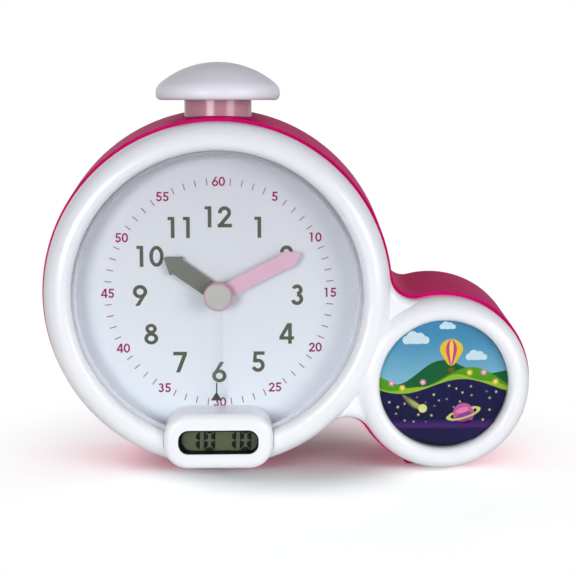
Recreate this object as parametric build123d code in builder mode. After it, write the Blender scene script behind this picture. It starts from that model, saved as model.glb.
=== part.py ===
from build123d import *
import os
from math import acos, atan2, cos, degrees, hypot, pi, radians, sin, sqrt

# Kids alarm clock with a night light.  A round dial lobe and a smaller lamp lobe
# share one white front moulding and one coloured rear housing.  +Z is up, the
# dial faces -Y, the origin is the bottom centre of the whole clock.  Depths are
# measured back from the seam between the two mouldings; heights are the same
# measure taken forwards of it.

os.makedirs("parts", exist_ok=True)

# ---------------------------------------------------------------- main sizes
dial_lobe_radius = 79.0
lamp_lobe_radius = 40.0
lobe_merge = 7.84               # how far the two lobe circles run into each other
dial_floor_gap = 2.0
lamp_floor_gap = 0.2
neck_radius = 12.0              # hollow curve between the lobes
housing_depth = 53.0
lip_proud = 1.5                 # the housing stands this far outside the front
fit_gap = 0.2                   # between pieces that drop into each other
slide_gap = 0.3                 # between pieces that move past each other
shaft_gap = 0.05                # radial, round a turning shaft

# front moulding
front_wall = 2.2
dial_ring = 12.8                # width of the white ring round the dial
dial_crest = 16.0
dial_lip = (3.8, 4.5)           # inner rounding: width, height
lamp_ring = 10.2                # width of the ring round the picture
lamp_crest = 14.5
lamp_lip = (3.2, 3.5)
shoulder = 6.0                  # height where the outer rounding starts
neck_height = 10.0
tongue_length = 2.5

# rear housing
housing_wall = 2.4
housing_flare = 2.5             # the wall leans out by this much towards the back
base_start = 4.0                # the hollow's flat floor starts behind the tongue
rear_edge = 6.0
bead_width = 2.2
pad_height = 0.8                # rubber pads that the clock stands on
groove_width = 0.7
groove_depth = 0.6

# lcd pod
pod_width = 49.8
pod_height = 25.4
pod_corner = 11.0
pod_reach = 20.0                # front of the pod, ahead of the seam
pod_wall = 1.8
pod_face = 2.2
pod_edge = 3.6
pod_notch = 43.0                # the front is open this wide under the pod
pod_rise = 14.0                 # pod centre above the foot of the dial lobe
window_width = 35.2
window_height = 9.9

# dial, lens and hands
plate_thickness = 1.5
plate_gap = 1.0                 # round the dial plate, inside the front moulding
lens_thickness = 1.4
lens_rim = 4.4                  # bevel and rim of the lens, from the opening inwards
lens_face_height = 13.0
lens_crown = 0.8
lens_rim_height = 9.6
ledge_width = 1.6
hand_thickness = 0.8
hour_hand_height = 2.0
minute_hand_height = 4.2
second_hand_height = 6.4
hour_hand_angle = 305.25        # clockwise from twelve, at 10:10:30
minute_hand_angle = 63.0
second_hand_angle = 181.2
cap_radius = 6.6
cap_height = 3.0

# rear controls and button
knob_gap = 0.6
knob_height = 4.4
knob_radius = 7.0
dome_radius = 29.2
dome_rise = 14.8
dome_lift = 12.4                # widest line of the dome above the dial lobe
dome_depth = 26.0
stem_radius = 15.8
stem_wall = 2.0
dome_travel = 3.0

# ---------------------------------------------------------------- places
housing_dial_radius = dial_lobe_radius + lip_proud
housing_lamp_radius = lamp_lobe_radius + lip_proud
lobe_drop = dial_lobe_radius + dial_floor_gap - lamp_lobe_radius - lamp_floor_gap
lobe_link = dial_lobe_radius + lamp_lobe_radius - lobe_merge
lobe_spacing = sqrt(lobe_link**2 - lobe_drop**2)
total_width = housing_dial_radius + lobe_spacing + housing_lamp_radius
dial = (housing_dial_radius - total_width / 2, housing_dial_radius + dial_floor_gap)
lamp = (dial[0] + lobe_spacing, housing_lamp_radius + lamp_floor_gap)
rear_reach = housing_depth + knob_gap + knob_height
seam_y = (pod_reach - rear_reach) / 2
pod = (dial[0], dial[1] - dial_lobe_radius + pod_rise)
dial_opening = dial_lobe_radius - dial_ring
lamp_opening = lamp_lobe_radius - lamp_ring
plate_radius = dial_lobe_radius - front_wall - plate_gap
lens_face_radius = dial_opening - lens_rim
dome_rim_rise = dial_lobe_radius + dome_lift


def facing(depth, x=0.0, z=0.0):
    """Sketch plane seen from the front, with its normal towards the viewer."""
    return Plane(origin=(x, seam_y + depth, z), x_dir=(1, 0, 0), z_dir=(0, -1, 0))


def axial(centre):
    """Half-section plane: local x is the radius, local y is the height."""
    return Plane(origin=(centre[0], seam_y, centre[1]), x_dir=(1, 0, 0), z_dir=(0, 0, -1))


def spin(centre):
    return Axis((centre[0], seam_y, centre[1]), (0, -1, 0))


def around(centre, radius, angle):
    """Point at a radius and angle (counter-clockwise from the right)."""
    return (centre[0] + radius * cos(radians(angle)), centre[1] + radius * sin(radians(angle)))


def beside(centre, right, up):
    return (centre[0] + right, centre[1] + up)


def finish(name, part):
    part.label = name
    export_step(part, f"parts/{name}.step")


# ---------------------------------------------------------------- outline
link = hypot(lobe_spacing, dial[1] - lamp[1])
link_angle = degrees(atan2(lamp[1] - dial[1], lobe_spacing))
dial_side = dial_lobe_radius + neck_radius
lamp_side = lamp_lobe_radius + neck_radius
neck_turn = degrees(acos((dial_side**2 + link**2 - lamp_side**2) / (2 * dial_side * link)))


def bearing(start, end):
    return degrees(atan2(end[1] - start[1], end[0] - start[0]))


def lobe_outline(grow, mode=Mode.ADD):
    """The two lobes with the hollow curves between them, grown by an offset."""
    upper = around(dial, dial_side, link_angle + neck_turn)
    lower = around(dial, dial_side, link_angle - neck_turn)
    lamp_start = bearing(lamp, lower)
    lamp_sweep = (bearing(lamp, upper) - lamp_start) % 360
    neck_sweep = (bearing(upper, lamp) - bearing(upper, dial) + 180) % 360 - 180
    with BuildLine() as loop:
        CenterArc(dial, dial_lobe_radius + grow, link_angle + neck_turn, 360 - 2 * neck_turn)
        CenterArc(lower, neck_radius - grow, bearing(lower, dial), -neck_sweep)
        CenterArc(lamp, lamp_lobe_radius + grow, lamp_start, lamp_sweep)
        CenterArc(upper, neck_radius - grow, bearing(upper, lamp), -neck_sweep)
    make_face(loop.edges(), mode=mode)


# ---------------------------------------------------------------- front moulding
def crown_ring(centre, opening, outer, crest, lip, inset):
    """Rounded ring round one opening; the inset form is the hollow inside it."""
    ridge = opening + lip[0]
    edge_width = outer - ridge
    edge_height = crest - shoulder
    with BuildPart() as ring:
        with BuildSketch(axial(centre)):
            with BuildLine():
                EllipticalCenterArc(
                    (ridge, shoulder), edge_width - inset, edge_height - inset, arc_size=90
                )
                EllipticalCenterArc(
                    (ridge, crest - lip[1]),
                    lip[0] - inset,
                    lip[1] - inset,
                    start_angle=90,
                    arc_size=90,
                )
                Polyline(
                    (opening + inset, crest - lip[1]),
                    (opening + inset, 0),
                    (outer - inset, 0),
                    (outer - inset, shoulder),
                )
            make_face()
        revolve(axis=spin(centre))
    return ring.part


def front_form(inset):
    with BuildPart() as form:
        with BuildSketch(facing(0)):
            lobe_outline(-inset)
        extrude(amount=neck_height - inset)
        fillet(form.faces().sort_by(Axis.Y)[0].edges(), neck_height - shoulder - inset)
        with BuildSketch(facing(0)):
            with Locations(dial):
                Circle(dial_opening + inset)
            with Locations(lamp):
                Circle(lamp_opening + inset)
        extrude(amount=neck_height, mode=Mode.SUBTRACT)
        add(crown_ring(dial, dial_opening, dial_lobe_radius, dial_crest, dial_lip, inset))
        add(crown_ring(lamp, lamp_opening, lamp_lobe_radius, lamp_crest, lamp_lip, inset))
    return form.part


housing_screw_r = 1.5
small_screw_r = 0.9
dial_post_radius = dial_opening + front_wall + 3.0
lamp_post_radius = lamp_opening + front_wall + 2.3
dial_post_r = 3.4
lamp_post_r = 2.9
post_length = 3.0               # front posts reach this far behind the seam
dial_posts = [around(dial, dial_post_radius, a) for a in (62, 118, 180, 235, 305)]
lamp_posts = [around(lamp, lamp_post_radius, a) for a in (60, -60)]
plate_posts = [around(dial, dial_post_radius, a) for a in (20, 150, 205)]
box_posts = [around(lamp, lamp_post_radius, a) for a in (0, 180)]
pod_posts = [beside(pod, s * (pod_width / 2 - pod_wall - 1.9), 0) for s in (-1, 1)]
dial_post_top = dial_crest - 2.5
lamp_post_top = lamp_crest - 3.0
pilot_top = 8.0
lens_radius = dial_opening - slide_gap

outer_front = front_form(0)
front_hollow = front_form(front_wall)
with BuildPart() as front_bezel:
    add(outer_front)
    add(front_hollow, mode=Mode.SUBTRACT)
    with BuildSketch(facing(tongue_length)):
        lobe_outline(lip_proud - housing_wall - fit_gap)
        lobe_outline(-front_wall, mode=Mode.SUBTRACT)
    extrude(amount=tongue_length)
    with BuildSketch(facing(post_length)):
        with Locations(*dial_posts):
            Circle(dial_post_r)
    extrude(amount=post_length + dial_post_top)
    with BuildSketch(facing(0)):
        with Locations(*plate_posts):
            Circle(dial_post_r)
    extrude(amount=dial_post_top)
    with BuildSketch(facing(post_length)):
        with Locations(*lamp_posts):
            Circle(lamp_post_r)
    extrude(amount=post_length + lamp_post_top)
    with BuildSketch(facing(0)):
        with Locations(*box_posts):
            Circle(lamp_post_r)
    extrude(amount=lamp_post_top)
    # ledge that the lens rim lies on
    with BuildSketch(facing(-(lens_rim_height - lens_thickness))):
        with Locations(dial):
            Circle(dial_opening + front_wall / 2)
            Circle(dial_opening - ledge_width, mode=Mode.SUBTRACT)
    extrude(amount=lens_thickness)
    with BuildSketch(facing(post_length)):
        with Locations(*dial_posts, *lamp_posts):
            Circle(housing_screw_r)
    extrude(amount=post_length + pilot_top, mode=Mode.SUBTRACT)
    with BuildSketch(facing(0)):
        with Locations(*plate_posts, *box_posts):
            Circle(small_screw_r)
    extrude(amount=pilot_top, mode=Mode.SUBTRACT)
    with BuildSketch(facing(0)):
        with Locations(pod):
            RectangleRounded(
                pod_width + 2 * fit_gap, pod_height + 2 * fit_gap, pod_corner + fit_gap
            )
            Rectangle(pod_notch, pod_height, align=(Align.CENTER, Align.MAX))
    extrude(amount=dial_crest, mode=Mode.SUBTRACT)
finish("front_bezel", front_bezel.part)

# ---------------------------------------------------------------- rear housing
def housing_form(inset):
    """Flared body of the lobes, rounded at the back and flat where it stands."""
    length = housing_depth - inset
    lean = degrees(atan2(housing_flare, housing_depth))
    start = base_start if inset else 0
    base = pad_height + inset
    with BuildPart() as form:
        with BuildSketch(facing(length)):
            lobe_outline(lip_proud + housing_flare * length / housing_depth - inset)
        extrude(amount=length, taper=lean)
        fillet(form.faces().sort_by(Axis.Y)[-1].edges(), rear_edge - inset)
        with BuildSketch(facing(housing_depth + 1)):
            with Locations((0, base - housing_depth / 2)):
                Rectangle(2 * total_width, housing_depth)
        extrude(amount=housing_depth + 1 - start, mode=Mode.SUBTRACT)
    return form.part


screw_seat = 13.0
screw_head_r = 2.6
screw_head = 2.0
boss_r = 3.8
small_boss_r = 2.6
small_head_r = 1.9
small_head = 1.2
small_shank = 5.0

# battery bay, centred under the dial axis
cell_radius = 7.25
cell_length = 49.5
cell_nub = 1.0
cell_pitch = 15.3
bay_rise = 40.0                 # bay centre above the foot of the housing
bay_centre = beside(dial, 0, bay_rise - housing_dial_radius)
door_width = 57.6
door_height = 48.6
door_gap = slide_gap
door_thickness = 2.2
door_tongue = (11.0, 8.5)
door_tongue_thickness = 1.2
door_screw_drop = 5.0           # below the door's lower edge
door_screw_r = 1.25
door_screw_clearance = 0.4
door_boss_r = 3.2
tray_wall = 1.6
tray_inner_width = 57.0
tray_top = 27.7                 # inner walls above and below the bay centre
tray_bottom = 24.1
tray_reach = 20.6               # tray floor ahead of the back
tray_floor_depth = housing_depth - tray_reach
tray_rim_gap = fit_gap
ear_reach = 4.4
ear_spread = tray_inner_width / 2 + tray_wall + ear_reach
tray_ears = [beside(bay_centre, s * ear_spread, 0) for s in (-1, 1)]

# board behind the right of the dial
board_margin = (44.0, 53.0)     # board centre inside the right and top of the dial lobe
board_centre = beside(dial, dial_lobe_radius - board_margin[0], dial_lobe_radius - board_margin[1])
board_size = (42.0, 40.0)
board_reach = 16.0              # board ahead of the back
board_depth = housing_depth - board_reach
board_thickness = 1.6
hole_inset = 3.0
hole_x = board_size[0] / 2 - hole_inset
hole_z = board_size[1] / 2 - hole_inset
board_holes = [beside(board_centre, sx * hole_x, sz * hole_z) for sx in (-1, 1) for sz in (-1, 1)]
button_row = [beside(board_centre, dx, 9.5) for dx in (-13.5, -4.5, 4.5, 13.5)]
button_r = 3.0
button_proud = 1.6
button_travel = 1.0
key_height = 5.0
switch_centre = beside(board_centre, 0, -7)
switch_travel = 4.0
switch_stem = 3.0
switch_flange = (11.0, 5.0)
speaker_margin = 45.0           # speaker centre inside the left and top of the dial lobe
speaker = beside(dial, speaker_margin - dial_lobe_radius, dial_lobe_radius - speaker_margin)
speaker_radius = 20.0
speaker_depth = 12.0
grille_radius = 15.0
grille_pitch = 4.0
grille_slot = 1.6
rib_height = 4.6
rib_wall = 1.6

# button guide in the crown of the dial lobe
guide_length = 21.5
guide_bottom = dial_lobe_radius - guide_length
guide_wall = 2.1
guide_ear = 20.4
base_thickness = 2.0
dome_centre = (dial[0], seam_y + dome_depth)

# feet
foot_size = (10.0, 8.0)
foot_depths = (10.0, 43.0)
foot_spread = (14.0, 10.0)      # under the dial, under the light
foot_x = [lobe[0] + s * d for lobe, d in zip((dial, lamp), foot_spread) for s in (-1, 1)]
foot_places = [(x, seam_y + d) for x in foot_x for d in foot_depths]

# setting arbor of the movement, which the rear knob turns
motion_module = 0.6
motion_distance = motion_module * (32 + 8) / 2
motion_angle = -30.0
motion_arbor = around(dial, motion_distance, motion_angle)
knob_shaft_r = 2.0

guide_inner = stem_radius + slide_gap
housing_body = housing_form(0)
housing_cavity = housing_form(housing_wall)
housing_core = housing_form(housing_wall / 2)
with BuildPart() as guide_ring:
    with BuildSketch(Plane.XY.offset(dial[1] + guide_bottom)):
        with Locations(dome_centre):
            Circle(guide_inner + guide_wall)
        with Locations(*[(dome_centre[0] + s * guide_ear, dome_centre[1]) for s in (-1, 1)]):
            Circle(small_boss_r)
    extrude(amount=housing_dial_radius + housing_flare - guide_bottom)
    add(housing_core, mode=Mode.INTERSECT)

inner_depth = housing_depth - housing_wall
with BuildPart() as rear_housing:
    add(housing_body)
    with BuildSketch(Plane.XY.offset(pad_height)):
        with Locations(*foot_places):
            RectangleRounded(foot_size[0] + 1.6, foot_size[1] + 1.6, 2.4)
    extrude(amount=dial[1] - housing_dial_radius * 0.9)
    add(housing_cavity, mode=Mode.SUBTRACT)
    # shadow groove behind the bead that frames the front moulding
    with BuildSketch(facing(bead_width + groove_width)):
        lobe_outline(lip_proud + 1)
        lobe_outline(lip_proud - groove_depth, mode=Mode.SUBTRACT)
    extrude(amount=groove_width, mode=Mode.SUBTRACT)
    # screw bosses, from the back wall to the front posts
    with BuildSketch(facing(inner_depth + housing_wall / 2)):
        with Locations(*dial_posts, *lamp_posts):
            Circle(boss_r)
    extrude(amount=inner_depth + housing_wall / 2 - post_length)
    # short bosses for the tray and the board
    with BuildSketch(facing(inner_depth + housing_wall / 2)):
        with Locations(*tray_ears):
            Circle(small_boss_r)
    extrude(amount=inner_depth + housing_wall / 2 - tray_floor_depth - tray_wall)
    with BuildSketch(facing(inner_depth + housing_wall / 2)):
        with Locations(*board_holes):
            Circle(small_boss_r)
    extrude(amount=inner_depth + housing_wall / 2 - board_depth - board_thickness)
    with BuildSketch(facing(inner_depth + housing_wall / 2)):
        with Locations(beside(bay_centre, 0, -door_height / 2 - door_screw_drop)):
            Circle(door_boss_r)
    extrude(amount=housing_wall / 2 + 4.0)
    with BuildSketch(facing(inner_depth + housing_wall / 2)):
        with Locations(speaker):
            Circle(speaker_radius + fit_gap + rib_wall)
            Circle(speaker_radius + fit_gap, mode=Mode.SUBTRACT)
    extrude(amount=rib_height + housing_wall / 2)
    add(guide_ring.part)
    # holes
    with BuildSketch(facing(housing_depth)):
        with Locations(*dial_posts, *lamp_posts):
            Circle(screw_head_r + fit_gap)
    extrude(amount=housing_depth - screw_seat, mode=Mode.SUBTRACT)
    with BuildSketch(facing(screw_seat)):
        with Locations(*dial_posts, *lamp_posts):
            Circle(housing_screw_r + fit_gap)
    extrude(amount=screw_seat - post_length, mode=Mode.SUBTRACT)
    with BuildSketch(facing(inner_depth)):
        with Locations(*tray_ears, *board_holes):
            Circle(small_screw_r)
    extrude(amount=inner_depth - tray_floor_depth, mode=Mode.SUBTRACT)
    # battery opening with the shallow seat for the door's tongue
    with BuildSketch(facing(housing_depth)):
        with Locations(bay_centre):
            RectangleRounded(door_width + 2 * door_gap, door_height + 2 * door_gap, 1.5)
    extrude(amount=housing_wall, mode=Mode.SUBTRACT)
    with BuildSketch(facing(housing_depth)):
        with Locations(beside(bay_centre, 0, -door_height / 2 - door_tongue[1] / 2 + 1)):
            RectangleRounded(
                door_tongue[0] + 2 * door_gap, door_tongue[1] + 2 + 2 * door_gap, 3
            )
    extrude(amount=door_tongue_thickness + slide_gap, mode=Mode.SUBTRACT)
    with BuildSketch(facing(housing_depth)):
        with Locations(beside(bay_centre, 0, -door_height / 2 - door_screw_drop)):
            Circle(door_screw_r + door_screw_clearance)
    extrude(amount=housing_wall + 3.4, mode=Mode.SUBTRACT)
    # knob, buttons, slide switch and speaker slots
    with BuildSketch(facing(housing_depth)):
        with Locations(motion_arbor):
            Circle(knob_shaft_r + slide_gap)
        with Locations(*button_row):
            Circle(button_r + slide_gap)
        with Locations(switch_centre):
            RectangleRounded(
                switch_stem + switch_travel + 2 * slide_gap, switch_stem + 2 * slide_gap, 0.8
            )
        for row in range(-3, 4):
            reach = sqrt(grille_radius**2 - (row * grille_pitch) ** 2)
            with Locations(beside(speaker, 0, row * grille_pitch)):
                SlotOverall(2 * reach, grille_slot)
    extrude(amount=housing_wall, mode=Mode.SUBTRACT)
    # hole for the dome's stem, down through the guide
    with BuildSketch(Plane.XY.offset(dial[1] + guide_bottom)):
        with Locations(dome_centre):
            Circle(guide_inner)
    extrude(amount=housing_dial_radius + housing_flare - guide_bottom + 1, mode=Mode.SUBTRACT)
    with BuildSketch(Plane.XY.offset(dial[1] + guide_bottom)):
        with Locations(*[(dome_centre[0] + s * guide_ear, dome_centre[1]) for s in (-1, 1)]):
            Circle(small_screw_r)
    extrude(amount=small_shank + 1, mode=Mode.SUBTRACT)
finish("rear_housing", rear_housing.part)

# ---------------------------------------------------------------- feet
with BuildPart() as foot_pads:
    with BuildSketch(Plane.XY):
        with Locations(*foot_places):
            RectangleRounded(*foot_size, 2)
    extrude(amount=pad_height)
finish("foot_pads", foot_pads.part)

# ---------------------------------------------------------------- dial lens
lens_rim_top = lens_rim_height + lens_thickness
lens_shoulder = lens_face_radius + 1.8
lens_bore = lens_face_radius - 0.8
with BuildPart() as dial_lens:
    with BuildSketch(axial(dial)):
        with BuildLine():
            Polyline(
                (0, lens_face_height + lens_crown - lens_thickness),
                (0, lens_face_height + lens_crown),
            )
            ThreePointArc(
                (0, lens_face_height + lens_crown),
                (lens_face_radius / 2, lens_face_height + lens_crown * 0.75),
                (lens_face_radius, lens_face_height),
            )
            Polyline(
                (lens_face_radius, lens_face_height),
                (lens_shoulder, lens_rim_top),
                (lens_radius, lens_rim_top),
                (lens_radius, lens_rim_height),
                (lens_face_radius + 0.4, lens_rim_height),
                (lens_bore, lens_face_height - lens_thickness),
            )
            ThreePointArc(
                (lens_bore, lens_face_height - lens_thickness),
                (lens_bore / 2, lens_face_height - lens_thickness + lens_crown * 0.75),
                (0, lens_face_height + lens_crown - lens_thickness),
            )
        make_face()
    revolve(axis=spin(dial))
    with BuildSketch(facing(0)):
        with Locations(pod):
            RectangleRounded(pod_width + 1.0, pod_height + 1.0, pod_corner + 0.5)
    extrude(amount=pod_reach, mode=Mode.SUBTRACT)
finish("dial_lens", dial_lens.part)

# ---------------------------------------------------------------- dial plate
case_half = 28.0
case_plate = 1.5
case_depth = 16.0               # from the seam to the rear cover's front face
case_back = case_depth + case_plate
clip_start = case_half + 0.3
clip_thickness = 2.0
clip_width = 12.0
clip_hook = 1.2
bush_r = 4.0
with BuildPart() as dial_plate:
    with BuildSketch(facing(plate_thickness)):
        with Locations(dial):
            Circle(plate_radius)
            Circle(bush_r + fit_gap, mode=Mode.SUBTRACT)
        with Locations(*dial_posts):
            Circle(dial_post_r + slide_gap, mode=Mode.SUBTRACT)
        with Locations(*plate_posts):
            Circle(small_screw_r + 0.1, mode=Mode.SUBTRACT)
    extrude(amount=plate_thickness)
    for side in (-1, 1):
        with BuildSketch(facing(case_back + slide_gap + 1.6)):
            with Locations(beside(dial, side * (clip_start + clip_thickness / 2), 0)):
                Rectangle(clip_thickness, clip_width)
        extrude(amount=case_back + slide_gap + 1.6 - plate_thickness)
        with BuildSketch(facing(case_back + slide_gap + 1.6)):
            with Locations(beside(dial, side * (clip_start - clip_hook / 2), 0)):
                Rectangle(clip_hook, clip_width)
        extrude(amount=1.6)
finish("dial_plate", dial_plate.part)

# ---------------------------------------------------------------- hands
second_arbor_r = 0.6
minute_tube_r = 1.5
hour_tube_r = 2.4


def clock_points(points, angle):
    """Turns (across, along) pairs to an angle clockwise from twelve."""
    s = sin(radians(angle))
    c = cos(radians(angle))
    return [(dial[0] + u * c + v * s, dial[1] - u * s + v * c) for u, v in points]


def arrow(half, shaft_end, head_half, head_base, tip):
    """Straight blade with a short arrow head and a flat nib."""
    right = [(half, 0), (half, shaft_end), (head_half, head_base), (0.6, tip)]
    return right + [(-u, v) for u, v in reversed(right)]


hour_reach = dial_opening - 36.5
minute_reach = dial_opening - 24.4
second_reach = dial_opening - 15.8
hour_blade = arrow(3.9, hour_reach - 7.5, 5.2, hour_reach - 6.4, hour_reach)
minute_blade = arrow(3.4, minute_reach - 6.8, 4.6, minute_reach - 5.8, minute_reach)

with BuildPart() as hour_hand:
    with BuildSketch(facing(-hour_hand_height)):
        Polygon(*clock_points(hour_blade, hour_hand_angle), align=None)
        with Locations(dial):
            Circle(5.2)
            Circle(hour_tube_r, mode=Mode.SUBTRACT)
    extrude(amount=hand_thickness)
finish("hour_hand", hour_hand.part)

with BuildPart() as minute_hand:
    with BuildSketch(facing(-minute_hand_height)):
        Polygon(*clock_points(minute_blade, minute_hand_angle), align=None)
        with Locations(dial):
            Circle(5.0)
            Circle(minute_tube_r, mode=Mode.SUBTRACT)
    extrude(amount=hand_thickness)
finish("minute_hand", minute_hand.part)

with BuildPart() as second_hand:
    with BuildSketch(facing(-second_hand_height)):
        blade = [(2.6, 0), (2.75, second_reach - 1), (1.8, second_reach)]
        blade += [(-u, v) for u, v in reversed(blade)]
        Polygon(*clock_points(blade, second_hand_angle), align=None)
        with Locations(dial):
            Circle(4.5)
            Circle(second_arbor_r, mode=Mode.SUBTRACT)
    extrude(amount=hand_thickness)
finish("second_hand", second_hand.part)

cap_base = second_hand_height + hand_thickness
with BuildPart() as hub_cap:
    with BuildSketch(facing(-cap_base)):
        with Locations(dial):
            Circle(cap_radius)
    extrude(amount=cap_height)
    fillet(hub_cap.faces().sort_by(Axis.Y)[0].edges(), 1.2)
    with BuildSketch(facing(-cap_base)):
        with Locations(dial):
            Circle(second_arbor_r)
    extrude(amount=1.3, mode=Mode.SUBTRACT)
finish("hub_cap", hub_cap.part)

# ---------------------------------------------------------------- lcd pod
mask_wall = 0.5
mask_back = 16.0
glass_thickness = 1.6
carrier_back = 10.0
lcd_board_thickness = 1.2
pod_inner = (pod_width - 2 * pod_wall, pod_height - 2 * pod_wall)
pod_post_r = 1.9


def pill(width, height):
    """Rectangle with nearly round ends."""
    RectangleRounded(width, height, height * 0.42)


with BuildPart() as lcd_pod:
    with BuildSketch(facing(-fit_gap)):
        with Locations(pod):
            RectangleRounded(pod_width, pod_height, pod_corner)
    extrude(amount=pod_reach - fit_gap)
    fillet(lcd_pod.faces().sort_by(Axis.Y)[0].edges(), pod_edge)
    with BuildSketch(facing(-fit_gap)):
        with Locations(pod):
            RectangleRounded(*pod_inner, pod_corner - pod_wall)
    extrude(amount=pod_reach - pod_face - fit_gap, mode=Mode.SUBTRACT)
    with BuildSketch(facing(-carrier_back)):
        with Locations(*pod_posts):
            Circle(pod_post_r)
    extrude(amount=pod_reach - pod_face - carrier_back + 0.2)
    with BuildSketch(facing(-mask_back)):
        with Locations(pod):
            pill(window_width + 2 * mask_wall + 0.2, window_height + 2 * mask_wall + 0.2)
    extrude(amount=pod_reach - mask_back, mode=Mode.SUBTRACT)
    with BuildSketch(facing(-carrier_back)):
        with Locations(*pod_posts):
            Circle(small_screw_r)
    extrude(amount=small_shank, mode=Mode.SUBTRACT)
finish("lcd_pod", lcd_pod.part)

with BuildPart() as lcd_mask:
    with BuildSketch(facing(-mask_back)):
        with Locations(pod):
            pill(window_width + 2 * mask_wall, window_height + 2 * mask_wall)
        with BuildSketch(mode=Mode.PRIVATE) as clear_view:
            with Locations(pod):
                pill(window_width, window_height)
        add(clear_view.sketch, mode=Mode.SUBTRACT)
    extrude(amount=pod_reach - mask_back - 0.3)
finish("lcd_mask", lcd_mask.part)

with BuildPart() as lcd_window:
    with BuildSketch(facing(-(mask_back + 0.3))):
        with Locations(pod):
            pill(window_width - 0.2, window_height - 0.2)
    extrude(amount=0.8)
finish("lcd_window", lcd_window.part)

lcd_width = window_width + 1.4
lcd_height = window_height + 2.1
with BuildPart() as lcd_glass:
    with BuildSketch(facing(-(mask_back - glass_thickness))):
        with Locations(pod):
            Rectangle(lcd_width, lcd_height)
    extrude(amount=glass_thickness)
finish("lcd_glass", lcd_glass.part)

with BuildPart() as lcd_carrier:
    with BuildSketch(facing(-carrier_back)):
        with Locations(pod):
            Rectangle(lcd_width, lcd_height + 2)
            Rectangle(lcd_width - 3, lcd_height - 2, mode=Mode.SUBTRACT)
    extrude(amount=mask_back - glass_thickness - carrier_back)
finish("lcd_carrier", lcd_carrier.part)

with BuildPart() as lcd_board:
    with BuildSketch(facing(-(carrier_back - lcd_board_thickness))):
        with Locations(pod):
            RectangleRounded(
                pod_inner[0] - 0.6, pod_inner[1] - 0.6, pod_corner - pod_wall - 0.3
            )
        with Locations(*pod_posts):
            Circle(small_screw_r + 0.1, mode=Mode.SUBTRACT)
    extrude(amount=lcd_board_thickness)
finish("lcd_board", lcd_board.part)

# ---------------------------------------------------------------- night light
film_thickness = 0.4
picture_thickness = 1.4
tube_wall = 1.4
tube_outer = lamp_opening - 0.4
tube_front = 8.8
print_gap = 0.3                 # air between the printed film and its window
tube_back = 18.0
flange_depth = (0.2, 1.8)
flange_radius = lamp_opening + front_wall + 0.5
led_board_thickness = 1.4
led_posts = [beside(lamp, s * 18, 0) for s in (-1, 1)]
led_places = [beside(lamp, sx * 9, sz * 12) for sx in (-1, 1) for sz in (-1, 1)]

with BuildPart() as picture_window:
    with BuildSketch(facing(-(tube_front + film_thickness + print_gap))):
        with Locations(lamp):
            Circle(lamp_opening - fit_gap)
    extrude(amount=picture_thickness)
finish("picture_window", picture_window.part)

with BuildPart() as picture_film:
    with BuildSketch(facing(-tube_front)):
        with Locations(lamp):
            Circle(tube_outer)
    extrude(amount=film_thickness)
finish("picture_film", picture_film.part)

with BuildPart() as light_box:
    with BuildSketch(facing(tube_back)):
        with Locations(lamp):
            Circle(tube_outer)
    extrude(amount=tube_back + tube_front)
    with BuildSketch(facing(flange_depth[1])):
        with Locations(lamp):
            Circle(flange_radius)
        with Locations(*box_posts):
            Circle(lamp_post_r)
        with Locations(*lamp_posts):
            Circle(lamp_post_r + slide_gap, mode=Mode.SUBTRACT)
        with Locations(*box_posts):
            Circle(small_screw_r + 0.1, mode=Mode.SUBTRACT)
    extrude(amount=flange_depth[1] - flange_depth[0])
    with BuildSketch(facing(tube_back)):
        with Locations(lamp):
            Circle(tube_outer - tube_wall)
    extrude(amount=tube_back + tube_front, mode=Mode.SUBTRACT)
    with BuildSketch(facing(tube_back)):
        with Locations(lamp):
            Rectangle(2 * tube_outer - tube_wall, tube_wall)
    extrude(amount=tube_back + tube_front - 1)
    with BuildSketch(facing(tube_back)):
        with Locations(*led_posts):
            Circle(small_boss_r)
    extrude(amount=10)
    with BuildSketch(facing(tube_back)):
        with Locations(*led_posts):
            Circle(small_screw_r)
    extrude(amount=small_shank, mode=Mode.SUBTRACT)
finish("light_box", light_box.part)

with BuildPart() as led_board:
    with BuildSketch(facing(tube_back + led_board_thickness)):
        with Locations(lamp):
            Circle(tube_outer)
        with Locations(*led_posts):
            Circle(small_screw_r + 0.1, mode=Mode.SUBTRACT)
    extrude(amount=led_board_thickness)
finish("led_board", led_board.part)

with BuildPart() as night_leds:
    with BuildSketch(facing(tube_back)):
        with Locations(*led_places):
            Circle(2.4)
    extrude(amount=5)
    fillet(night_leds.faces().group_by(Axis.Y)[0].edges(), 1.6)
finish("night_leds", night_leds.part)

# ---------------------------------------------------------------- push dome
dome_axis = Axis((dome_centre[0], dome_centre[1], 0), (0, 0, 1))
dome_half = Plane(
    origin=(dome_centre[0], dome_centre[1], dial[1]), x_dir=(1, 0, 0), z_dir=(0, -1, 0)
)
dome_wall = 2.2
dome_arc = 42.0
dome_turn = 25.0                # radius where the crown meets the tighter rim
dome_top = dome_rim_rise + dome_rise
dome_lip = (2.4, 2.9)
guide_base = guide_bottom - base_thickness
spring_foot = guide_bottom
stem_floor = guide_bottom + 20.0
crown_z = dome_top - dome_arc
inner_arc = dome_arc - dome_wall
inner_turn = dome_turn * inner_arc / dome_arc
rim_slope = (sqrt(dome_arc**2 - dome_turn**2), -dome_turn)
outer_knee = (dome_turn, crown_z + sqrt(dome_arc**2 - dome_turn**2))
inner_knee = (inner_turn, crown_z + sqrt(inner_arc**2 - inner_turn**2))
dome_rim = (dome_radius, dome_rim_rise)
dome_bore = (dome_radius - dome_lip[0], dome_rim_rise)

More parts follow.
